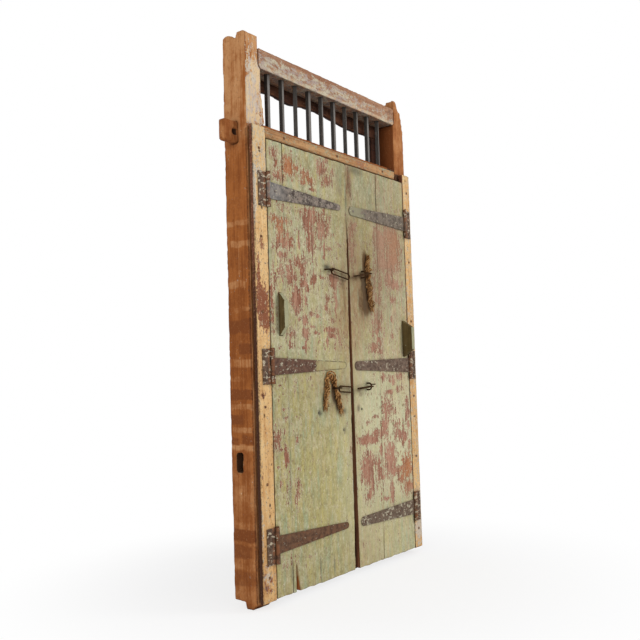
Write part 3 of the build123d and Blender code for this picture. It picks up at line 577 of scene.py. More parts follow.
def wood_material(name, axis, dark, light, pale, red, paint, old_paint, specks, crisp, seed, patch):
    """Old wood whose vertices say where it is pale, red, chalky, dirty or given painted shade, and where
    paint is left.
    """
    shader = Shader(name)
    streak = shader.noise(grain_cell(axis, 0.008, 0.2), 4, 0.6, seed)
    broad = shader.noise(grain_cell(axis, 0.05, 0.4), 3, 0.5, seed + 1)
    blotch = shader.noise(grain_cell(axis, 0.012 * patch, 0.022 * patch), 5, 0.7, seed + 2)
    speck = shader.noise((0.007, 0.007, 0.008), 3, 0.6, seed + 3)
    cloud = shader.noise(grain_cell(axis, 0.016, 0.05), 5, 0.7, seed + 4)
    stain = shader.noise((0.06, 0.06, 0.06), 4, 0.65, seed + 5)
    grain = shader.total((streak, 0.7), (broad, 0.6), (stain, 0.5))
    paleness = shader.total(("pale", 1.0), (blotch, 0.5), (stain, 0.5))
    redness = shader.total(("red", 1.0), (blotch, 0.9 + 1.2 * crisp), (stain, 0.8 * crisp))
    painted = shader.total(("paint", 1.0), (blotch, 1.8), (speck, 0.8), (stain, 0.5))
    chalked = shader.total(("chalk", 1.0), (blotch, 1.8), (speck, 0.9))
    shade_and_soil = shader.total(("shade_and_grime", 1.0), (speck, 0.7), (blotch, 0.5))
    left = (painted, 0.36, 0.46)
    worn_pale = shader.blend((grain, -0.2, 0.1), light, pale)
    remains = shader.blend((cloud, -0.06, 0.08), paint, old_paint)
    colour = shader.blend((grain, -0.16, 0.16), dark, light)
    colour = shader.mix((paleness, 0.05, 0.85), colour, worn_pale)
    colour = shader.layers(colour, ((redness, 0.15 + 0.17 * crisp, 0.7 - 0.26 * crisp), 1.0, red))
    colour = shader.mix(shader.times(left, 0.85), colour, remains)
    colour = shader.layers(
        colour,
        ((chalked, 0.34, 0.58), 0.8, (204, 194, 178)),
        ((speck, 0.09, 0.17), specks, (104, 62, 36)),
        ((speck, -0.1, -0.18), specks * 0.6, pale),
        # dirt, and painted shade where the marks call for it (recesses, undersides, inner faces)
        ((shade_and_soil, 0.2, 0.8), 0.88, (50, 28, 16)),
        # painted shade in crevices and corners
        (shader.crevice_shade(0.025), 0.5, (48, 28, 18)),
    )
    relief = shader.total((left, 0.4), (streak, 0.9), (speck, 0.4))
    return shader.finish(colour, 0.82, relief, 0.0014)


def iron_material(name, dark, light, rust, fleck, flecks, seed, shine=0.2, tip=None, root=None):
    """Dark forged iron with rust, rusty knuckles and flecks of old paint."""
    shader = Shader(name)
    cloud = shader.noise((0.022, 0.022, 0.02), 5, 0.66, seed)
    pit = shader.noise((0.006, 0.006, 0.006), 4, 0.6, seed + 1)
    chip = shader.noise((0.022, 0.022, 0.014), 5, 0.66, seed + 2)
    from_middle = shader.math("ABSOLUTE", shader.axis("X"))
    by_pin = (shader.distance(from_middle, pin_x), 0.013, 0.009)
    knuckle = shader.times(by_pin, (cloud, -0.16, 0.1))
    rows = [((shader.total((pit, 0.6), (cloud, 0.7)), 0.0, 0.18), 0.7, rust)]
    if root:
        rows.append(((from_middle, 0.36, 0.5), 0.4, root))
    rows.append((knuckle, 0.7, (136, 86, 54)))
    if tip:
        rows.append(((shader.total((from_middle, 1.0), (cloud, 0.25)), 0.19, 0.12), 0.7, tip))
    rows.append(((chip, 0.2 - flecks, 0.24 - flecks), 0.8, fleck))
    # painted shade in crevices and corners of the iron
    rows.append((shader.crevice_shade(0.01), 0.45, (34, 22, 16)))
    colour = shader.layers(shader.blend((cloud, -0.14, 0.14), dark, light), *rows)
    relief = shader.total((pit, 0.6), (cloud, 0.6))
    return shader.finish(colour, 0.72, relief, 0.0012, shine=shine)


# Height over the planks from which a nail head lies on a strap
strap_nail_from = 0.0037
strap_nail_full = 0.0042


def nail_material():
    """Strap nails as dark as their straps, nails in the planks painted over, bolts grey."""
    shader = Shader("nail_iron")
    pit = shader.noise((0.006, 0.006, 0.006), 4, 0.6, 80)
    cloud = shader.noise((0.05, 0.05, 0.05), 4, 0.6, 81)
    iron = shader.blend((shader.axis("Z"), 0.5, 1.6), (96, 70, 56), (112, 102, 96))
    iron = shader.layers(iron, ((pit, 0.0, 0.2), 0.6, (186, 176, 152)))
    paint = shader.blend((cloud, -0.15, 0.15), (150, 142, 106), (176, 168, 132))
    for x, z, _, _, amount in bolt_spots:
        beside = (shader.distance(shader.axis("X"), x / 1000), 0.03, 0.025)
        level = (shader.distance(shader.axis("Z"), z / 1000), 0.03, 0.025)
        paint = shader.layers(paint, (shader.times(beside, level), amount, (98, 96, 82)))
    raised = (shader.axis("Y"), front_y - strap_nail_from, front_y - strap_nail_full)
    return shader.finish(shader.mix(raised, paint, iron), 0.75, pit, 0.001)


def bar_material():
    """Grey square bars with painted shade on the side away from the light and under the rail."""
    shader = Shader("bar_iron")
    normal = shader.add("NewGeometry", {}, "True Normal")
    to_right, to_back = (shader.add("SeparateXYZ", {0: normal}, axis) for axis in "XY")
    pit = shader.noise((0.008, 0.008, 0.03), 4, 0.6, 66)
    cloud = shader.noise((0.03, 0.03, 0.08), 4, 0.6, 67)
    # How far each face turns towards the light, for painted light and shade on the bars
    turned = shader.total((to_right, 1.0), (to_back, -0.35), (cloud, 0.8))
    colour = shader.layers(
        shader.blend((turned, -0.75, 0.5), (48, 44, 40), (112, 107, 102)),
        ((pit, 0.02, 0.2), 0.6, (92, 80, 72)),
        # painted shade under the rail
        ((shader.axis("Z"), rail_low - 0.07, rail_low), 0.6, (46, 40, 34)),
    )
    return shader.finish(colour, 0.6, pit, 0.001, metallic=0.1, shine=0.3)


def rope_material():
    """Tan fibres, pale and dark in clumps, darker on the upper rope."""
    shader = Shader("rope_fibre")
    fibre = shader.noise((0.003, 0.003, 0.02), 4, 0.6, 75)
    cloud = shader.noise((0.03, 0.03, 0.03), 3, 0.5, 76)
    clump = shader.noise((0.012, 0.012, 0.034), 3, 0.6, 77)
    colour = shader.layers(
        shader.blend((fibre, -0.1, 0.1), (122, 72, 32), (212, 160, 98)),
        ((cloud, 0.0, 0.2), 0.6, (96, 58, 28)),
        ((clump, 0.0, 0.12), 0.8, (66, 36, 14)),
        ((clump, -0.02, -0.14), 0.8, (226, 178, 118)),
        ((shader.axis("Z"), 1.1, 1.2), 0.2, (84, 50, 24)),
        # painted shade between the strands
        (shader.crevice_shade(0.008), 0.75, (38, 20, 8)),
    )
    return shader.finish(colour, 0.9, fibre, 0.001)


leaf_paint = leaf_material()

# Woods: grain axis; dark, light, pale, red, paint and old paint; specks, crispness, seed, patch size
woods = {}
for name, *look in (
    ("casing_wood", 2, (190, 140, 88), (218, 174, 116), (231, 196, 142), (138, 84, 58),
     (216, 194, 156), (190, 176, 156), 0.75, 1, 20, 1.0),
    ("head_wood", 0, (150, 104, 66), (190, 146, 100), (206, 172, 130), (154, 96, 68),
     (180, 158, 120), (158, 156, 128), 0.7, 1, 25, 1.0),
    ("post_wood", 2, (132, 72, 28), (162, 96, 44), (198, 146, 98), (122, 66, 28),
     (226, 200, 158), (198, 186, 176), 0.4, 0, 30, 1.0),
    ("rail_wood", 0, (146, 104, 78), (178, 138, 108), (200, 172, 140), (152, 98, 70),
     (196, 188, 164), (172, 156, 148), 0.7, 0, 35, 1.5),
    ("rough_wood", 0, (34, 15, 8), (64, 32, 17), (104, 66, 42), (70, 30, 18),
     (90, 60, 40), (90, 60, 40), 0.3, 0, 40, 1.0),
    ("block_wood", 2, (76, 62, 32), (98, 82, 48), (120, 104, 70), (80, 50, 30),
     (176, 172, 138), (164, 164, 132), 0.3, 0, 45, 1.0),
):
    woods[name] = wood_material(name, *look)

# Irons: dark, light, rust and fleck colours, how much old paint clings to each, seed
pale_fleck = (186, 178, 154)
iron_looks = {
    "left_strap_top_iron": ((66, 55, 49), (150, 138, 126), (112, 90, 76), pale_fleck, 0.10, 50),
    "left_strap_middle_iron": ((80, 54, 42), (110, 82, 66), (98, 56, 38), pale_fleck, 0.115, 51),
    "left_strap_bottom_iron": ((82, 56, 40), (114, 84, 62), (118, 66, 38), pale_fleck, 0.07, 52),
    "right_strap_top_iron": ((86, 75, 65), (128, 117, 103), (112, 90, 72), pale_fleck, 0.095, 53),
    "right_strap_middle_iron": ((84, 64, 52), (122, 105, 90), (104, 64, 44), pale_fleck, 0.115, 54),
    "right_strap_bottom_iron": ((86, 68, 55), (120, 104, 88), (102, 68, 50), pale_fleck, 0.15, 55),
    "plate_iron": ((74, 54, 42), (108, 88, 72), (110, 64, 40), (204, 192, 166), 0.15, 60),
    "pin_iron": ((70, 42, 26), (100, 64, 42), (122, 66, 36), (150, 130, 104), 0.07, 63),
    "rust_nail": ((96, 64, 44), (130, 92, 62), (104, 60, 38), (180, 150, 110), 0.06, 64),
    "chain_iron": ((34, 23, 12), (70, 49, 28), (80, 44, 20), (128, 98, 64), 0.06, 70),
}
# A strap with a blued root, one with a painted tip, and dull chains
iron_extras = {
    "left_strap_top_iron": {"root": (146, 146, 144)},
    "right_strap_top_iron": {"tip": (150, 146, 116)},
    "chain_iron": {"shine": 0.04},
}
irons = {}
for name, look in iron_looks.items():
    irons[name] = iron_material(name, *look, **iron_extras.get(name, {}))
leaf_nail = nail_material()
bar_iron = bar_material()
rope_fibre = rope_material()

# Leaves: flakes and thin paint of each side, then side, pinkness and seed of each plank
leaf_wear = {"left": (left_flakes, left_thin), "right": (right_flakes, right_thin)}
leaf_planks = {
    "left_plank_narrow": ("left", 0.15, 1),
    "left_plank_wide": ("left", 0.15, 2),
    "right_plank_inner": ("right", 0.6, 3),
    "right_plank_outer": ("right", 0.85, 4),
}
# Spots of both leaves, and how sharply they end
leaf_marks = {
    "orange": (orange_spots, 1.0), "rubbed": (rubbed_spots, 1.0), "olive": (olive_spots, 1.0),
    "blue": (blue_spots, 1.0), "dark": (dark_spots, 2.0), "brown": (brown_spots, 1.2),
    "chalky": (chalky_spots, 0.6), "dull": (dull_spots, 0.6),
}
leaf_voxel = 0.0045
leaf_relief = 0.0012
leaf_chips = 0.003
ragged_depth = 0.005
ragged_from = 0.016
ragged_full = 0.004
# Split at the foot of the left leaf: half width, half width of its line, depth, range of its top
split_half = 0.011
split_line = 0.0025
split_depth = 0.012
split_reach = (0.08, 0.2)


def paint_leaf(mesh, points, front, side, pink):
    """Marks where a leaf is painted, flaked, stained and faded."""
    flakes, thin = leaf_wear[side]
    thinness = spots(points, thin)
    mark(mesh, "front", front)
    mark(mesh, "wear", 0.6 * spots(points, flakes) + 0.15 * thinness - 0.04)
    mark(mesh, "pink", pink * (0.7 + 0.6 * thinness))
    for name, (places, sharpness) in leaf_marks.items():
        mark(mesh, name, spots(points, places, sharpness))


def split_share(points):
    """How far each point lies in the split, whose top is too narrow for the mesh."""
    corners = corners_of("left_plank_wide")
    heights = corners[:, 2] - foot_z
    left_x, _, top_z = corners[(heights > split_reach[0]) & (heights < split_reach[1])][0]
    narrowing = split_half * (top_z - points[:, 2]) / (top_z - foot_z)
    past_half = np.abs(points[:, 0] - left_x - narrowing) - np.maximum(narrowing, 0) - split_line
    return step(past_half, 0.002, -0.001) * step(points[:, 2], top_z + 0.01, top_z - 0.01)


for node, (side, pink, seed) in leaf_planks.items():
    mesh, points, outward, _ = worn_copy(node, leaf_voxel, leaf_relief, leaf_chips, grain_axis=2, seed=seed)
    front = step(-outward[:, 1], 0.3, 0.7)
    if node == "left_plank_wide":
        opened = split_share(points)
        points[:, 1] += split_depth * opened * front
        front = front * (1 - opened)
    ragged = ragged_depth * value_noise(points, (0.032, 0.08, 1.0), seed + 40)
    points[:, 2] += ragged * step(points[:, 2], foot_z + ragged_from, foot_z + ragged_full)
    place_vertices(mesh, points)
    paint_leaf(mesh, points, front, side, pink)
    dress(node, mesh, leaf_paint, side + "_leaf")


# Wood of the frame: where each member is pale, red, painted or chalky, and where it is dirty and where shade
# is painted on it
wood_marks = ("pale", "red", "paint", "shade_and_grime", "chalk")
# Empty mortise in the outer side of the left post: middle and half size
mortise_y, mortise_z = 0.0815, 0.569
mortise_half_y, mortise_half_z = 0.019, 0.041
mortise_floor = (-0.617, -0.610)
# Wedge holes in the tenons of the transom: middle and half size
wedge_x, wedge_z = 0.633, 1.904
wedge_half_x, wedge_half_z = 0.015, 0.013
hole_blur = 0.001


def skin_of(points, outward, arris):
    """A surface with its directions, from 0 to 1, and a cloudy noise."""
    turned = {
        "front": -outward[:, 1], "left": -outward[:, 0], "right": outward[:, 0],
        "under": -outward[:, 2], "over": outward[:, 2],
    }
    skin = SimpleNamespace(points=points, outward=outward, arris=arris)
    skin.x, skin.y, skin.z = points.T
    skin.cloud = value_noise(points, (0.06, 0.06, 0.08), 70)
    for name, share in turned.items():
        setattr(skin, name, step(share, 0.5, 0.8))
    return skin


def within(values, middle, half, blur):
    """1 in a stretch about the middle, 0 outside it."""
    return step(np.abs(values - middle), half + blur, half - blur)


def most(*values):
    return np.maximum.reduce(values)


def left_post_marks(skin):
    """Saw bands and painted shade in the empty mortise on the outer side, old paint on the upper front."""
    x, y, z = skin.x, skin.y, skin.z
    depth_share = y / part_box("left_post")[1][1]
    wobble = 0.012 * (value_noise(skin.points, (0.05, 0.03, 0.03), 71) - 0.5)
    bands, dark_bands = np.zeros(len(x)), np.zeros(len(x))
    for height, half, first, last, amount in saw_bands:
        inside = step(np.abs(z + wobble - height / 1000), half / 1000 * 1.25, half / 1000 * 0.8)
        inside = inside * step(depth_share, first - 0.06, first + 0.02)
        inside = inside * step(depth_share, last + 0.06, last - 0.02)
        bands = most(bands, 0.8 * amount * inside)
        dark_bands = most(dark_bands, -1.1 * amount * inside)
    centre_line = step(np.abs(depth_share - 0.46 - wobble), 0.03, 0.01)
    centre_line = centre_line * step(z, 0.9, 1.0) * step(z, 1.5, 1.4)
    bleached = 0.6 * step(z, 1.72, 2.02) + 0.3 * step(z, 0.8, 0.4)
    upper = skin.front * step(z, casing_top - 0.05, casing_top + 0.05)
    horn = step(z, 2.17, 2.25)
    beside_casing = step(y, 0.016, 0.004) * step(z, casing_top, casing_top - 0.02)
    # Painted shade inside the empty mortise
    mortise_shade = step(x, *mortise_floor) * within(y, mortise_y, mortise_half_y, hole_blur)
    mortise_shade = mortise_shade * within(z, mortise_z, mortise_half_z, hole_blur)
    return {
        "pale": most(
            skin.left * most(bands, 0.45 * centre_line, bleached), 0.55 * skin.front,
            upper * (0.95 - 0.2 * horn), 0.7 * skin.over,
        ),
        "red": most(dark_bands * skin.left, 0.55 * upper * step(x, -0.604, -0.614)),
        "paint": upper * (0.6 - 0.35 * horn) * (0.5 + 1.0 * skin.cloud),
        "shade_and_grime": most(0.6 * skin.left * beside_casing, 1.2 * mortise_shade),
        "chalk": upper * spots(skin.points, casing_chalk),
    }


def right_post_marks(skin):
    horn = step(skin.z, 2.24, 2.27)
    # Painted shadow of the transom on the front of the post
    transom_shadow = skin.front * step(skin.z, 1.935, 1.925) * step(skin.z, 1.86, 1.88)
    return {
        "pale": 0.35 * skin.front + 0.5 * skin.left * horn,
        # Inner face darkened red below the horn, with a little dirt: painted shade inside the opening
        "red": 0.8 * skin.left * (1 - horn),
        "shade_and_grime": 0.12 * skin.left + 0.9 * transom_shadow,
    }


def top_rail_marks(skin):
    x, z = skin.x, skin.z
    painted = 0.48 - 0.3 * step(z, 2.235, 2.265) - 0.12 * step(x, 0.1, 0.3)
    return {
        "pale": 0.9 * skin.front * step(z, 2.206, 2.194),
        "red": 0.3 * skin.front * step(z, 2.23, 2.26),
        "paint": skin.front * painted + 0.4 * skin.under,
        # Painted shade on the underside, and dirt in clouds on the right of the front
        "shade_and_grime": 0.55 * skin.under + 0.38 * skin.front * skin.cloud * step(x, 0.1, 0.4),
    }


def transom_marks(skin):
    x, z = skin.x, skin.z
    hole_shade = within(np.abs(x), wedge_x, wedge_half_x, hole_blur)
    hole_shade = hole_shade * within(z, wedge_z, wedge_half_z, hole_blur / 2)
    return {
        "pale": 0.3 * step(np.abs(x), 0.6, 0.63),
        # Darker front from x 0.45 on, and painted shade inside the wedge holes
        "shade_and_grime": most(
            1.1 * skin.front * step(x, 0.44, 0.46), 1.2 * hole_shade * step(np.abs(skin.outward[:, 1]), 0.9, 0.6)
        ),
    }


def lintel_marks(skin):
    return {"pale": skin.front * (0.15 + 0.4 * skin.cloud) + 0.5 * skin.arris}


def jamb_marks(skin):
    return {"pale": step(skin.arris, 0.2, 0.7)}


def head_casing_marks(skin):
    return {
        "red": 0.5 * spots(skin.points, casing_reds),
        "paint": 0.3 * skin.front + 0.7 * skin.over,
        "shade_and_grime": 0.4 * step(skin.x, 0.455, 0.47),
    }


def casing_marks(skin):
    """Pale front with red remains, dirty edges and foot, side faces darkened with painted shade, old paint
    high on the left and on the right.
    """
    x, z, front = skin.x, skin.z, skin.front
    sides = skin.left + skin.right
    on_left = step(x, 0.1, -0.1)
    on_right = front * step(x, 0, 0.1)
    outer_edge = step(np.abs(x), 0.604, 0.62) * (0.35 + 0.5 * skin.cloud)
    foot = 0.5 * step(z, foot_z + 0.14, foot_z + 0.02) * skin.cloud
    high_left = step(z, 1.55, 1.75) * step(x, 0, -0.1)
    return {
        "pale": front * (0.12 + 0.5 * skin.cloud + 0.24 * on_left * step(z, 0.5, 1.3)),
        # Side faces dark red: painted shade, partly dirt
        "red": most(spots(skin.points, casing_reds) * front + 0.9 * sides, 0.14 * on_right),
        "paint": front * (0.2 + 0.25 * high_left) + 0.14 * on_right,
        # Stains on the front; side faces darkened, more towards the bottom, as painted shade and dirt; dirty
        # outer edge and foot
        "shade_and_grime": most(
            spots(skin.points, casing_stains, 2.0) * front, (0.5 + 0.35 * step(z, 1.5, 0.9)) * sides,
            outer_edge * front, foot * front,
        ),
        "chalk": front * spots(skin.points, casing_chalk),
    }


def stain(mesh, count, marks):
    """Writes the marks of a wooden piece, with zero for those that aren't given."""
    for name in wood_marks:
        mark(mesh, name, marks.get(name, np.zeros(count)))


# Members: wood, slot, axis of the grain, voxel, depth of the relief, depth of the chips, marks
frame_wood = {
    "left_post": ("post_wood", "post_wood", 2, 0.0055, 0.002, 0.005, left_post_marks),
    "right_post": ("post_wood", "post_wood", 2, 0.006, 0.002, 0.005, right_post_marks),
    "top_rail": ("rail_wood", "rail_paint", 0, 0.005, 0.0016, 0.004, top_rail_marks),
    "rear_lintel": ("rough_wood", "rough_wood", 0, 0.007, 0.002, 0.006, lintel_marks),
    "rear_jamb": ("rough_wood", "rough_wood", 2, 0.004, 0.0012, 0.003, jamb_marks),
    "transom_rail": ("post_wood", "post_wood", 0, 0.0055, 0.0015, 0.003, transom_marks),
    "left_casing": ("casing_wood", "casing_wood", 2, 0.004, 0.0014, 0.005, casing_marks),
    "right_casing": ("casing_wood", "casing_wood", 2, 0.005, 0.0014, 0.005, casing_marks),
    "head_casing": ("head_wood", "casing_wood", 0, 0.005, 0.0014, 0.004, head_casing_marks),
}
nick_depth = 0.007
nick_from = 0.03
nick_full = 0.004

for seed, (node, member) in enumerate(frame_wood.items(), start=10):
    wood, slot, axis, voxel, depth, chips, marks = member
    mesh, points, outward, arris = worn_copy(node, voxel, depth, chips, axis, seed)
    if node.endswith("_post"):
        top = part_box(node)[1][2]
        nicks = step(value_noise(points, (0.02, 0.02, 1.0), seed + 60), 0.5, 0.8)
        points[:, 2] -= nick_depth * nicks * step(points[:, 2], top - nick_from, top - nick_full)
        place_vertices(mesh, points)
    stain(mesh, len(points), marks(skin_of(points, outward, arris)))
    dress(node, mesh, woods[wood], "frame")

# Ledges and blocks of the leaves
for side in ("left", "right"):
    for seed, level in enumerate(("bottom", "middle", "top"), start=20):
        node = f"{side}_ledge_{level}"
        mesh, points, _, _ = worn_copy(node, voxel=0.007, depth=0.0015, chips=0.003, grain_axis=0, seed=seed)
        stain(mesh, len(points), {})
        dress(node, mesh, woods["rough_wood"], f"{side}_leaf")
    node = f"{side}_block"
    mesh, points, outward, _ = worn_copy(node, voxel=0.004, depth=0.001, chips=0.002, grain_axis=2, seed=30)
    stain(mesh, len(points), {"paint": 0.9 * step(-outward[:, 1], 0.5, 0.8)})
    dress(node, mesh, woods["block_wood"], f"{side}_leaf")

# Paint that bridges the joints between planks and is open near the top
edge_reach = 0.001
joint_rows = 460
joint_half = 0.0042
joint_inset = 0.004
joint_sunk, joint_cracked, joint_opened, joint_worn = 0.0005, 0.0011, 0.004, 0.003
joint_worn_below = 0.22
joint_worn_full = 0.12
joint_profile = ((0, 0.0035), (0.3, 0.0), (0.5, 0.0003), (0.7, 0.0), (1, 0.0035))
# Painted edge of the right leaf that closes the top of the gap
gap_rows = 200
gap_low = 1.50
gap_high = leaf_top - 0.006
gap_taper = 0.12
gap_lap = 0.003
gap_left_open = 0.0006
gap_profile = ((0, 0.012), (0.04, 0.003), (0.5, 0.0022), (1, 0.0022))


def edge_ends(node, pick):
    """x of a plank's edge at the foot and at the top, from its corners there."""
    corners = corners_of(node)
    ends = []
    for level in (min(corners[:, 2]), max(corners[:, 2])):
        ends.append(pick(corners[np.abs(corners[:, 2] - level) < edge_reach][:, 0]))
    return np.array(ends)


def between(ends, heights):
    """Values on the straight line from the foot of the leaves to their top."""
    return ends[0] + (ends[1] - ends[0]) * (heights - foot_z) / (leaf_top - foot_z)


def painted_strip(name, profile, left, right, surface, heights, side, pink):
    """A narrow painted sheet up a leaf; the profile gives shares of its width and their depths."""
    columns = []
    for share, deeper in profile:
        columns.append(np.column_stack((left + (right - left) * share, surface + deeper, heights)))
    points = np.stack(columns, axis=1).reshape(-1, 3)
    faces = grid_faces(len(heights), len(profile), closed=False)
    piece = new_piece(name, points.tolist(), faces, leaf_paint)
    paint_leaf(piece.data, points, np.ones(len(points)), side, pink)
    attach(piece, side + "_leaf")


def fill_joint(side, left_node, right_node, pink, open_top):
    """Paint over the joint of two planks, sunk where it has cracked, above open_top and at the foot."""
    middle_ends = (edge_ends(left_node, max) + edge_ends(right_node, min)) / 2
    low, high = (corner[2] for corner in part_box(right_node))
    heights = np.linspace(low + joint_inset, high - joint_inset, joint_rows)
    middle = between(middle_ends, heights)
    line = np.column_stack((middle, np.full(joint_rows, front_y), heights))
    cracked = step(value_noise(line, (0.02, 0.02, 0.09), 80), 0.5, 0.8)
    sunk = joint_sunk + joint_cracked * cracked
    sunk += joint_opened * step(heights, open_top - 0.06, open_top + 0.04)
    sunk += joint_worn * step(heights, joint_worn_below, joint_worn_full)
    left, right = middle - joint_half, middle + joint_half
    painted_strip(side + "_joint_paint", joint_profile, left, right, front_y + sunk, heights, side, pink)


def close_gap():
    """Painted edge that narrows downward until the gap between the leaves is open."""
    heights = np.linspace(gap_low, gap_high, gap_rows)
    right_edge = between(edge_ends("right_plank_inner", min), heights) + gap_lap
    left_edge = between(edge_ends("left_plank_wide", max), heights) + gap_left_open
    left_edge = right_edge + (left_edge - right_edge) * step(heights, gap_low, gap_low + gap_taper)
    surface = np.full(gap_rows, front_y)
    painted_strip("right_edge_paint", gap_profile, left_edge, right_edge, surface, heights, "right", 0.6)


fill_joint("left", "left_plank_narrow", "left_plank_wide", 0.15, 1.72)
fill_joint("right", "right_plank_inner", "right_plank_outer", 0.7, 1.70)
close_gap()

# Iron and the meeting strip keep their CAD shape: part of the name, the first that fits, material, bevel
plain_finishes = [
    ("bar_", bar_iron, 0.0012), ("_plate_", irons["plate_iron"], 0.0006),
    ("plate_nails", irons["plate_iron"], 0.0006), ("casing_nails", irons["rust_nail"], 0.0006),
    ("nails", leaf_nail, 0.0006), ("pins", irons["pin_iron"], 0.0006),
    ("meeting_strip", woods["rough_wood"], 0.001), ("_link", irons["chain_iron"], 0.0008),
    ("_staple", irons["chain_iron"], 0.0008),
]
for side, level in itertools.product(("left", "right"), ("top", "middle", "bottom")):
    strap = f"{side}_strap_{level}"
    plain_finishes.append((strap, irons[strap + "_iron"], 0.0009))
weld_reach = 0.00001


def finish_node(node, material, bevel):
    """Gives a CAD node its material and small round edges."""
    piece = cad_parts[node]
    piece.data.materials.clear()
    piece.data.materials.append(material)
    weld = piece.modifiers.new("weld", "WELD")
    weld.merge_threshold = weld_reach
    edges = piece.modifiers.new("edges", "BEVEL")
    edges.width = bevel
    edges.segments = 2
    edges.limit_method = "ANGLE"


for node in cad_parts:
    for part, material, bevel in plain_finishes:
        if part in node:
            finish_node(node, material, bevel)
            break

# Ropes: points across and up from the middle of the staple, as in the part, in metres
upper_chain = (0.140, 1.373)
lower_chain = (-0.098, 0.848288)
rope_y = -0.0353
rope_diameter = 0.014
upper_route = [(0.049, 0.093), (0.042, 0.025), (0.050, -0.053), (0.054, -0.105), (0.069, -0.156)]
lower_route = [
    (-0.089, -0.083), (-0.078, -0.006), (-0.060, 0.055), (-0.032, 0.056), (-0.008, 0.0), (0.003, -0.048),
    (0.031, -0.105),
]
# Twist of the rope and what has come loose from it
spline_pieces = 48
rope_steps = 260
rope_lay = 0.042
strands = 3
strand_radius = rope_diameter * 0.268
loose_strands = 16
tufts = 46
hairs = 420
end_hairs = 150
end_steps = 16
ragged_steps = 50
# Room about the rope by the staple, and the distances between which it grows to the whole
staple_room = 0.3
staple_near = 0.012
staple_far = 0.04
# How far forward and how near the leaf loose strands, tufts and hairs may lie, as y
strand_room = (-0.056, front_y - 0.0034)
tuft_room = (-0.058, front_y - 0.0024)
hair_room = (-0.060, front_y - 0.0008)


# A direction that no strand runs along
tube_facing = (0.0, 1.0, 0.001)


def spline_points(places, pieces):
    """Points along the smooth line that control points describe."""
    curve = bpy.data.curves.new("line", "CURVE")
    curve.dimensions = "3D"
    curve.resolution_u = pieces
    spline = curve.splines.new("NURBS")
    spline.points.add(len(places) - 1)
    for point, place in zip(spline.points, places):
        point.co = (*place, 1)
    spline.order_u = 3
    spline.use_endpoint_u = True
    return vectors(evaluated_mesh(link_new("line", curve)).vertices, "co")


def unit_tangents(points):
    tangents = np.gradient(points, axis=0)
    return tangents / np.linalg.norm(tangents, axis=1)[:, None]


def tube(points, radii, sides):
    """Vertices and faces of a closed tube along points."""
    tangents = unit_tangents(points)
    side_axis = np.cross(tangents, tube_facing)
    side_axis /= np.linalg.norm(side_axis, axis=1)[:, None]
    up_axis = np.cross(side_axis, tangents)
    rings = []
    for turn in np.arange(sides) * 2 * math.pi / sides:
        rings.append(points + radii[:, None] * (math.cos(turn) * side_axis + math.sin(turn) * up_axis))
    vertices = np.stack(rings, axis=1).reshape(-1, 3)
    faces = grid_faces(len(points), sides, closed=True)
    faces.append(tuple(reversed(range(sides))))
    faces.append(tuple(range((len(points) - 1) * sides, len(points) * sides)))
    return vertices, faces


def join_tubes(name, tubes):
    """One piece of rope fibre made of several tubes."""
    vertices, faces, start = [], [], 0
    for tube_vertices, tube_faces in tubes:
        vertices.extend(tube_vertices.tolist())
        faces.extend(tuple(start + corner for corner in face) for face in tube_faces)
        start += len(tube_vertices)
    return new_piece(name, vertices, faces, rope_fibre)


def rope_path(staple, route):
    """Even points along a rope, with its directions and the room about it, less near the staple."""
    places = [(staple[0] + across, rope_y, staple[1] + up) for across, up in route]
    line = spline_points(places, spline_pieces)
    gone = np.concatenate(([0.0], np.cumsum(np.linalg.norm(np.diff(line, axis=0), axis=1))))
    path = SimpleNamespace(gone=np.linspace(0, gone[-1], rope_steps))
    path.centre = np.column_stack([np.interp(path.gone, gone, line[:, axis]) for axis in range(3)])
    path.tangents = unit_tangents(path.centre)
    path.toward = np.tile((0.0, -1.0, 0.0), (rope_steps, 1))
    path.sideways = np.cross(path.tangents, path.toward)
    from_staple = np.hypot(path.centre[:, 0] - staple[0], path.centre[:, 2] - staple[1])
    path.room = staple_room + (1 - staple_room) * step(from_staple, staple_near, staple_far)
    return path


def spoke(path, turn, place=slice(None)):
    """Direction out of the rope at an angle, at one place or all along it."""
    turn = np.expand_dims(turn, -1)
    return np.cos(turn) * path.toward[place] + np.sin(turn) * path.sideways[place]


def twisted_strands(path, seed):
    """The strands that are laid into the rope."""
    tubes = []
    for number in range(strands):
        out = spoke(path, 2 * math.pi * (path.gone / rope_lay + number / strands))
        line = path.centre + (rope_diameter / 2 - strand_radius) * out
        swell = 0.9 + 0.1 * np.sin(path.gone / 0.011 + number * 2 + seed)
        tubes.append(tube(line, strand_radius * swell, 8))
    return tubes


def loose_strand(path, number, chance):
    """A strand that has come out of the lay and waves about the rope."""
    wave = chance.uniform(0.009, 0.019)
    twist = 2 * math.pi * (path.gone / chance.uniform(0.05, 0.09) + chance.random())
    loose = wave * path.room * (0.65 + 0.35 * np.sin(path.gone / 0.014 + 1.7 * number))
    line = path.centre + loose[:, None] * spoke(path, twist)
    line[:, 1] = np.clip(line[:, 1], *strand_room)
    first = chance.randrange(0, ragged_steps)
    last = rope_steps - chance.randrange(0, ragged_steps)
    line = line[first:last:2]
    taper = np.sqrt(np.sin(np.linspace(0.15, math.pi - 0.15, len(line))))
    return tube(line, chance.uniform(0.0019, 0.0034) * taper, 6)


def tuft(path, chance):
    """A short thick end of fibre that stands off the rope."""
    place = chance.randrange(rope_steps)
    out = spoke(path, chance.uniform(0, 2 * math.pi), place)
    along = path.tangents[place] * chance.uniform(-1.4, 1.4)
    reach = chance.uniform(0.008, 0.016) * path.room[place]
    shares = np.linspace(0, 1, 6)[:, None]
    line = path.centre[place] + out * rope_diameter * 0.4 + reach * shares * (0.9 * out + along * shares)
    line[:, 1] = np.clip(line[:, 1], *tuft_room)
    return tube(line, np.linspace(0.0022, 0.001, 6), 5)


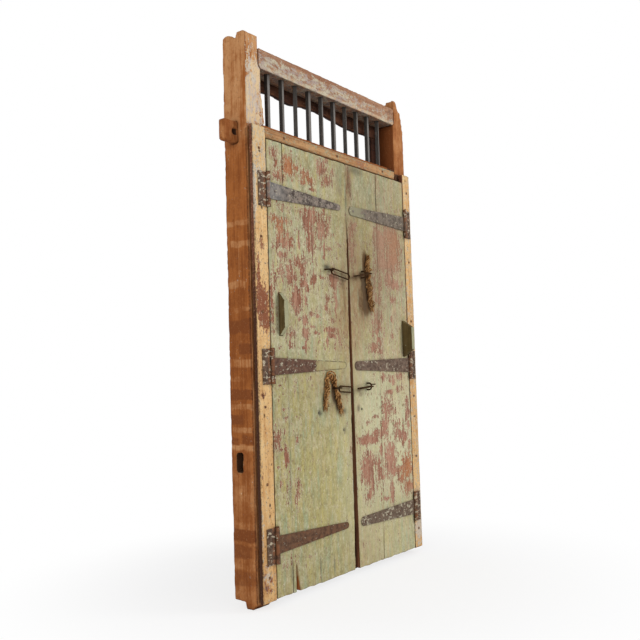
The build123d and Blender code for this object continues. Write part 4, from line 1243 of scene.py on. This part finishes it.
def hair(path, at_end, chance):
    """A thin fibre, long and straight at the ends of the rope."""
    place = chance.randrange(rope_steps)
    if at_end:
        last_steps = (rope_steps - end_steps, rope_steps)
        place = chance.choice((chance.randrange(0, end_steps), chance.randrange(*last_steps)))
    out = spoke(path, chance.uniform(0, 2 * math.pi), place)
    along = path.tangents[place] * (1 if place > rope_steps / 2 else -1)
    reach = chance.uniform(0.006, 0.020) if at_end else chance.uniform(0.006, 0.014)
    lean = chance.uniform(0.6, 1.3) if at_end else chance.uniform(-0.9, 0.9)
    spread = 0.2 if at_end else 0.55
    shares = np.linspace(0, 1, 5)[:, None]
    line = path.centre[place] + out * rope_diameter * 0.38 + reach * shares * (spread * out + lean * along)
    line[:, 2] -= 0.35 * reach * shares[:, 0] ** 2
    line[:, 1] = np.clip(line[:, 1], *hair_room)
    return tube(line, np.linspace(0.0009, 0.0004, 5), 4)


def make_rope(node, staple, route, body, seed):
    """A rope of twisted strands with the fray about it."""
    path = rope_path(staple, route)
    rope = join_tubes(node + "_strands", twisted_strands(path, seed))
    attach(rope, body)
    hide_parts(node)
    chance = random.Random(seed)
    loose = [loose_strand(path, number, chance) for number in range(loose_strands)]
    loose += [tuft(path, chance) for _ in range(tufts)]
    loose += [hair(path, number < end_hairs, chance) for number in range(hairs)]
    fray = join_tubes(node + "_fray", loose)
    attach(fray, body)


make_rope("upper_rope", upper_chain, upper_route, "right_leaf", 5)
make_rope("lower_rope", lower_chain, lower_route, "left_leaf", 9)

# Floor that is white far from the door and keeps its shadow near it
floor_half = 30
floor_grey = 0.92
shadow_near, shadow_far = 0.5, 1.7
white_near, white_more = 0.74, 0.26
white = (1, 1, 1, 1)
ground = Shader("floor_white")
ground.surface.inputs["Base Color"].default_value = (floor_grey, floor_grey, floor_grey, 1)
ground.surface.inputs["Roughness"].default_value = 0.9
seen = ground.add("LightPath", {}, "Is Camera Ray")
from_door = ground.add("VectorMath", {0: ground.place}, "Value", operation="LENGTH")
whiteness = ground.math("MULTIPLY_ADD", (from_door, shadow_near, shadow_far), white_more, white_near)
share = ground.times(seen, whiteness)
glow = ground.add("Emission", {"Color": white})
floor_blend = ground.add("MixShader", {0: share, 1: ground.surface.outputs[0], 2: glow})
ground.links.new(floor_blend, ground.nodes["Material Output"].inputs[0])
floor_corners = [(x * floor_half, y * floor_half, 0) for x, y in ((-1, -1), (1, -1), (1, 1), (-1, 1))]
new_piece("floor", floor_corners, [(0, 1, 2, 3)], ground.material)

# Soft studio light on a background that camera, gloss and glass see as white
ambient_strength = 0.5
world = bpy.data.worlds.new("studio")
bpy.context.scene.world = world
world.use_nodes = True
sky = Nodes(world.node_tree)
ambient = sky.nodes["Background"]
ambient.inputs["Color"].default_value = white
ambient.inputs["Strength"].default_value = ambient_strength
backdrop = sky.add("Background", {"Color": white, "Strength": 1.0})
rays = sky.nodes.new("ShaderNodeLightPath").outputs
camera_or_gloss = sky.math("MAXIMUM", rays["Is Camera Ray"], rays["Is Glossy Ray"])
sees_white = sky.math("MAXIMUM", camera_or_gloss, rays["Is Transmission Ray"])
sky_blend = sky.add("MixShader", {0: sees_white, 1: ambient.outputs[0], 2: backdrop})
sky.links.new(sky_blend, sky.nodes["World Output"].inputs[0])


def area_light(name, place, target, size, watts):
    """A round soft lamp that looks at its target."""
    lamp = bpy.data.lights.new(name, "AREA")
    lamp.shape = "DISK"
    lamp.size = size
    lamp.energy = watts
    holder = link_new(name, lamp)
    holder.location = place
    holder.rotation_mode = "QUATERNION"
    holder.rotation_quaternion = (Vector(target) - Vector(place)).to_track_quat("-Z", "Y")


area_light("key", (2.2, -4.2, 3.2), (0, 0, 1.1), size=2.0, watts=110)
area_light("fill", (-4.5, -1.2, 2.2), (-0.4, 0, 1.1), size=2.5, watts=60)

camera = link_new("camera", bpy.data.cameras.new("camera"))
camera.data.lens = lens_mm
camera.data.sensor_width = sensor_mm
columns = (look_right, look_up, look_back, eye)
camera.matrix_world = Matrix([[column[row] for column in columns] for row in range(3)] + [[0, 0, 0, 1]])
bpy.context.scene.camera = camera
bpy.context.scene.view_settings.view_transform = "Standard"
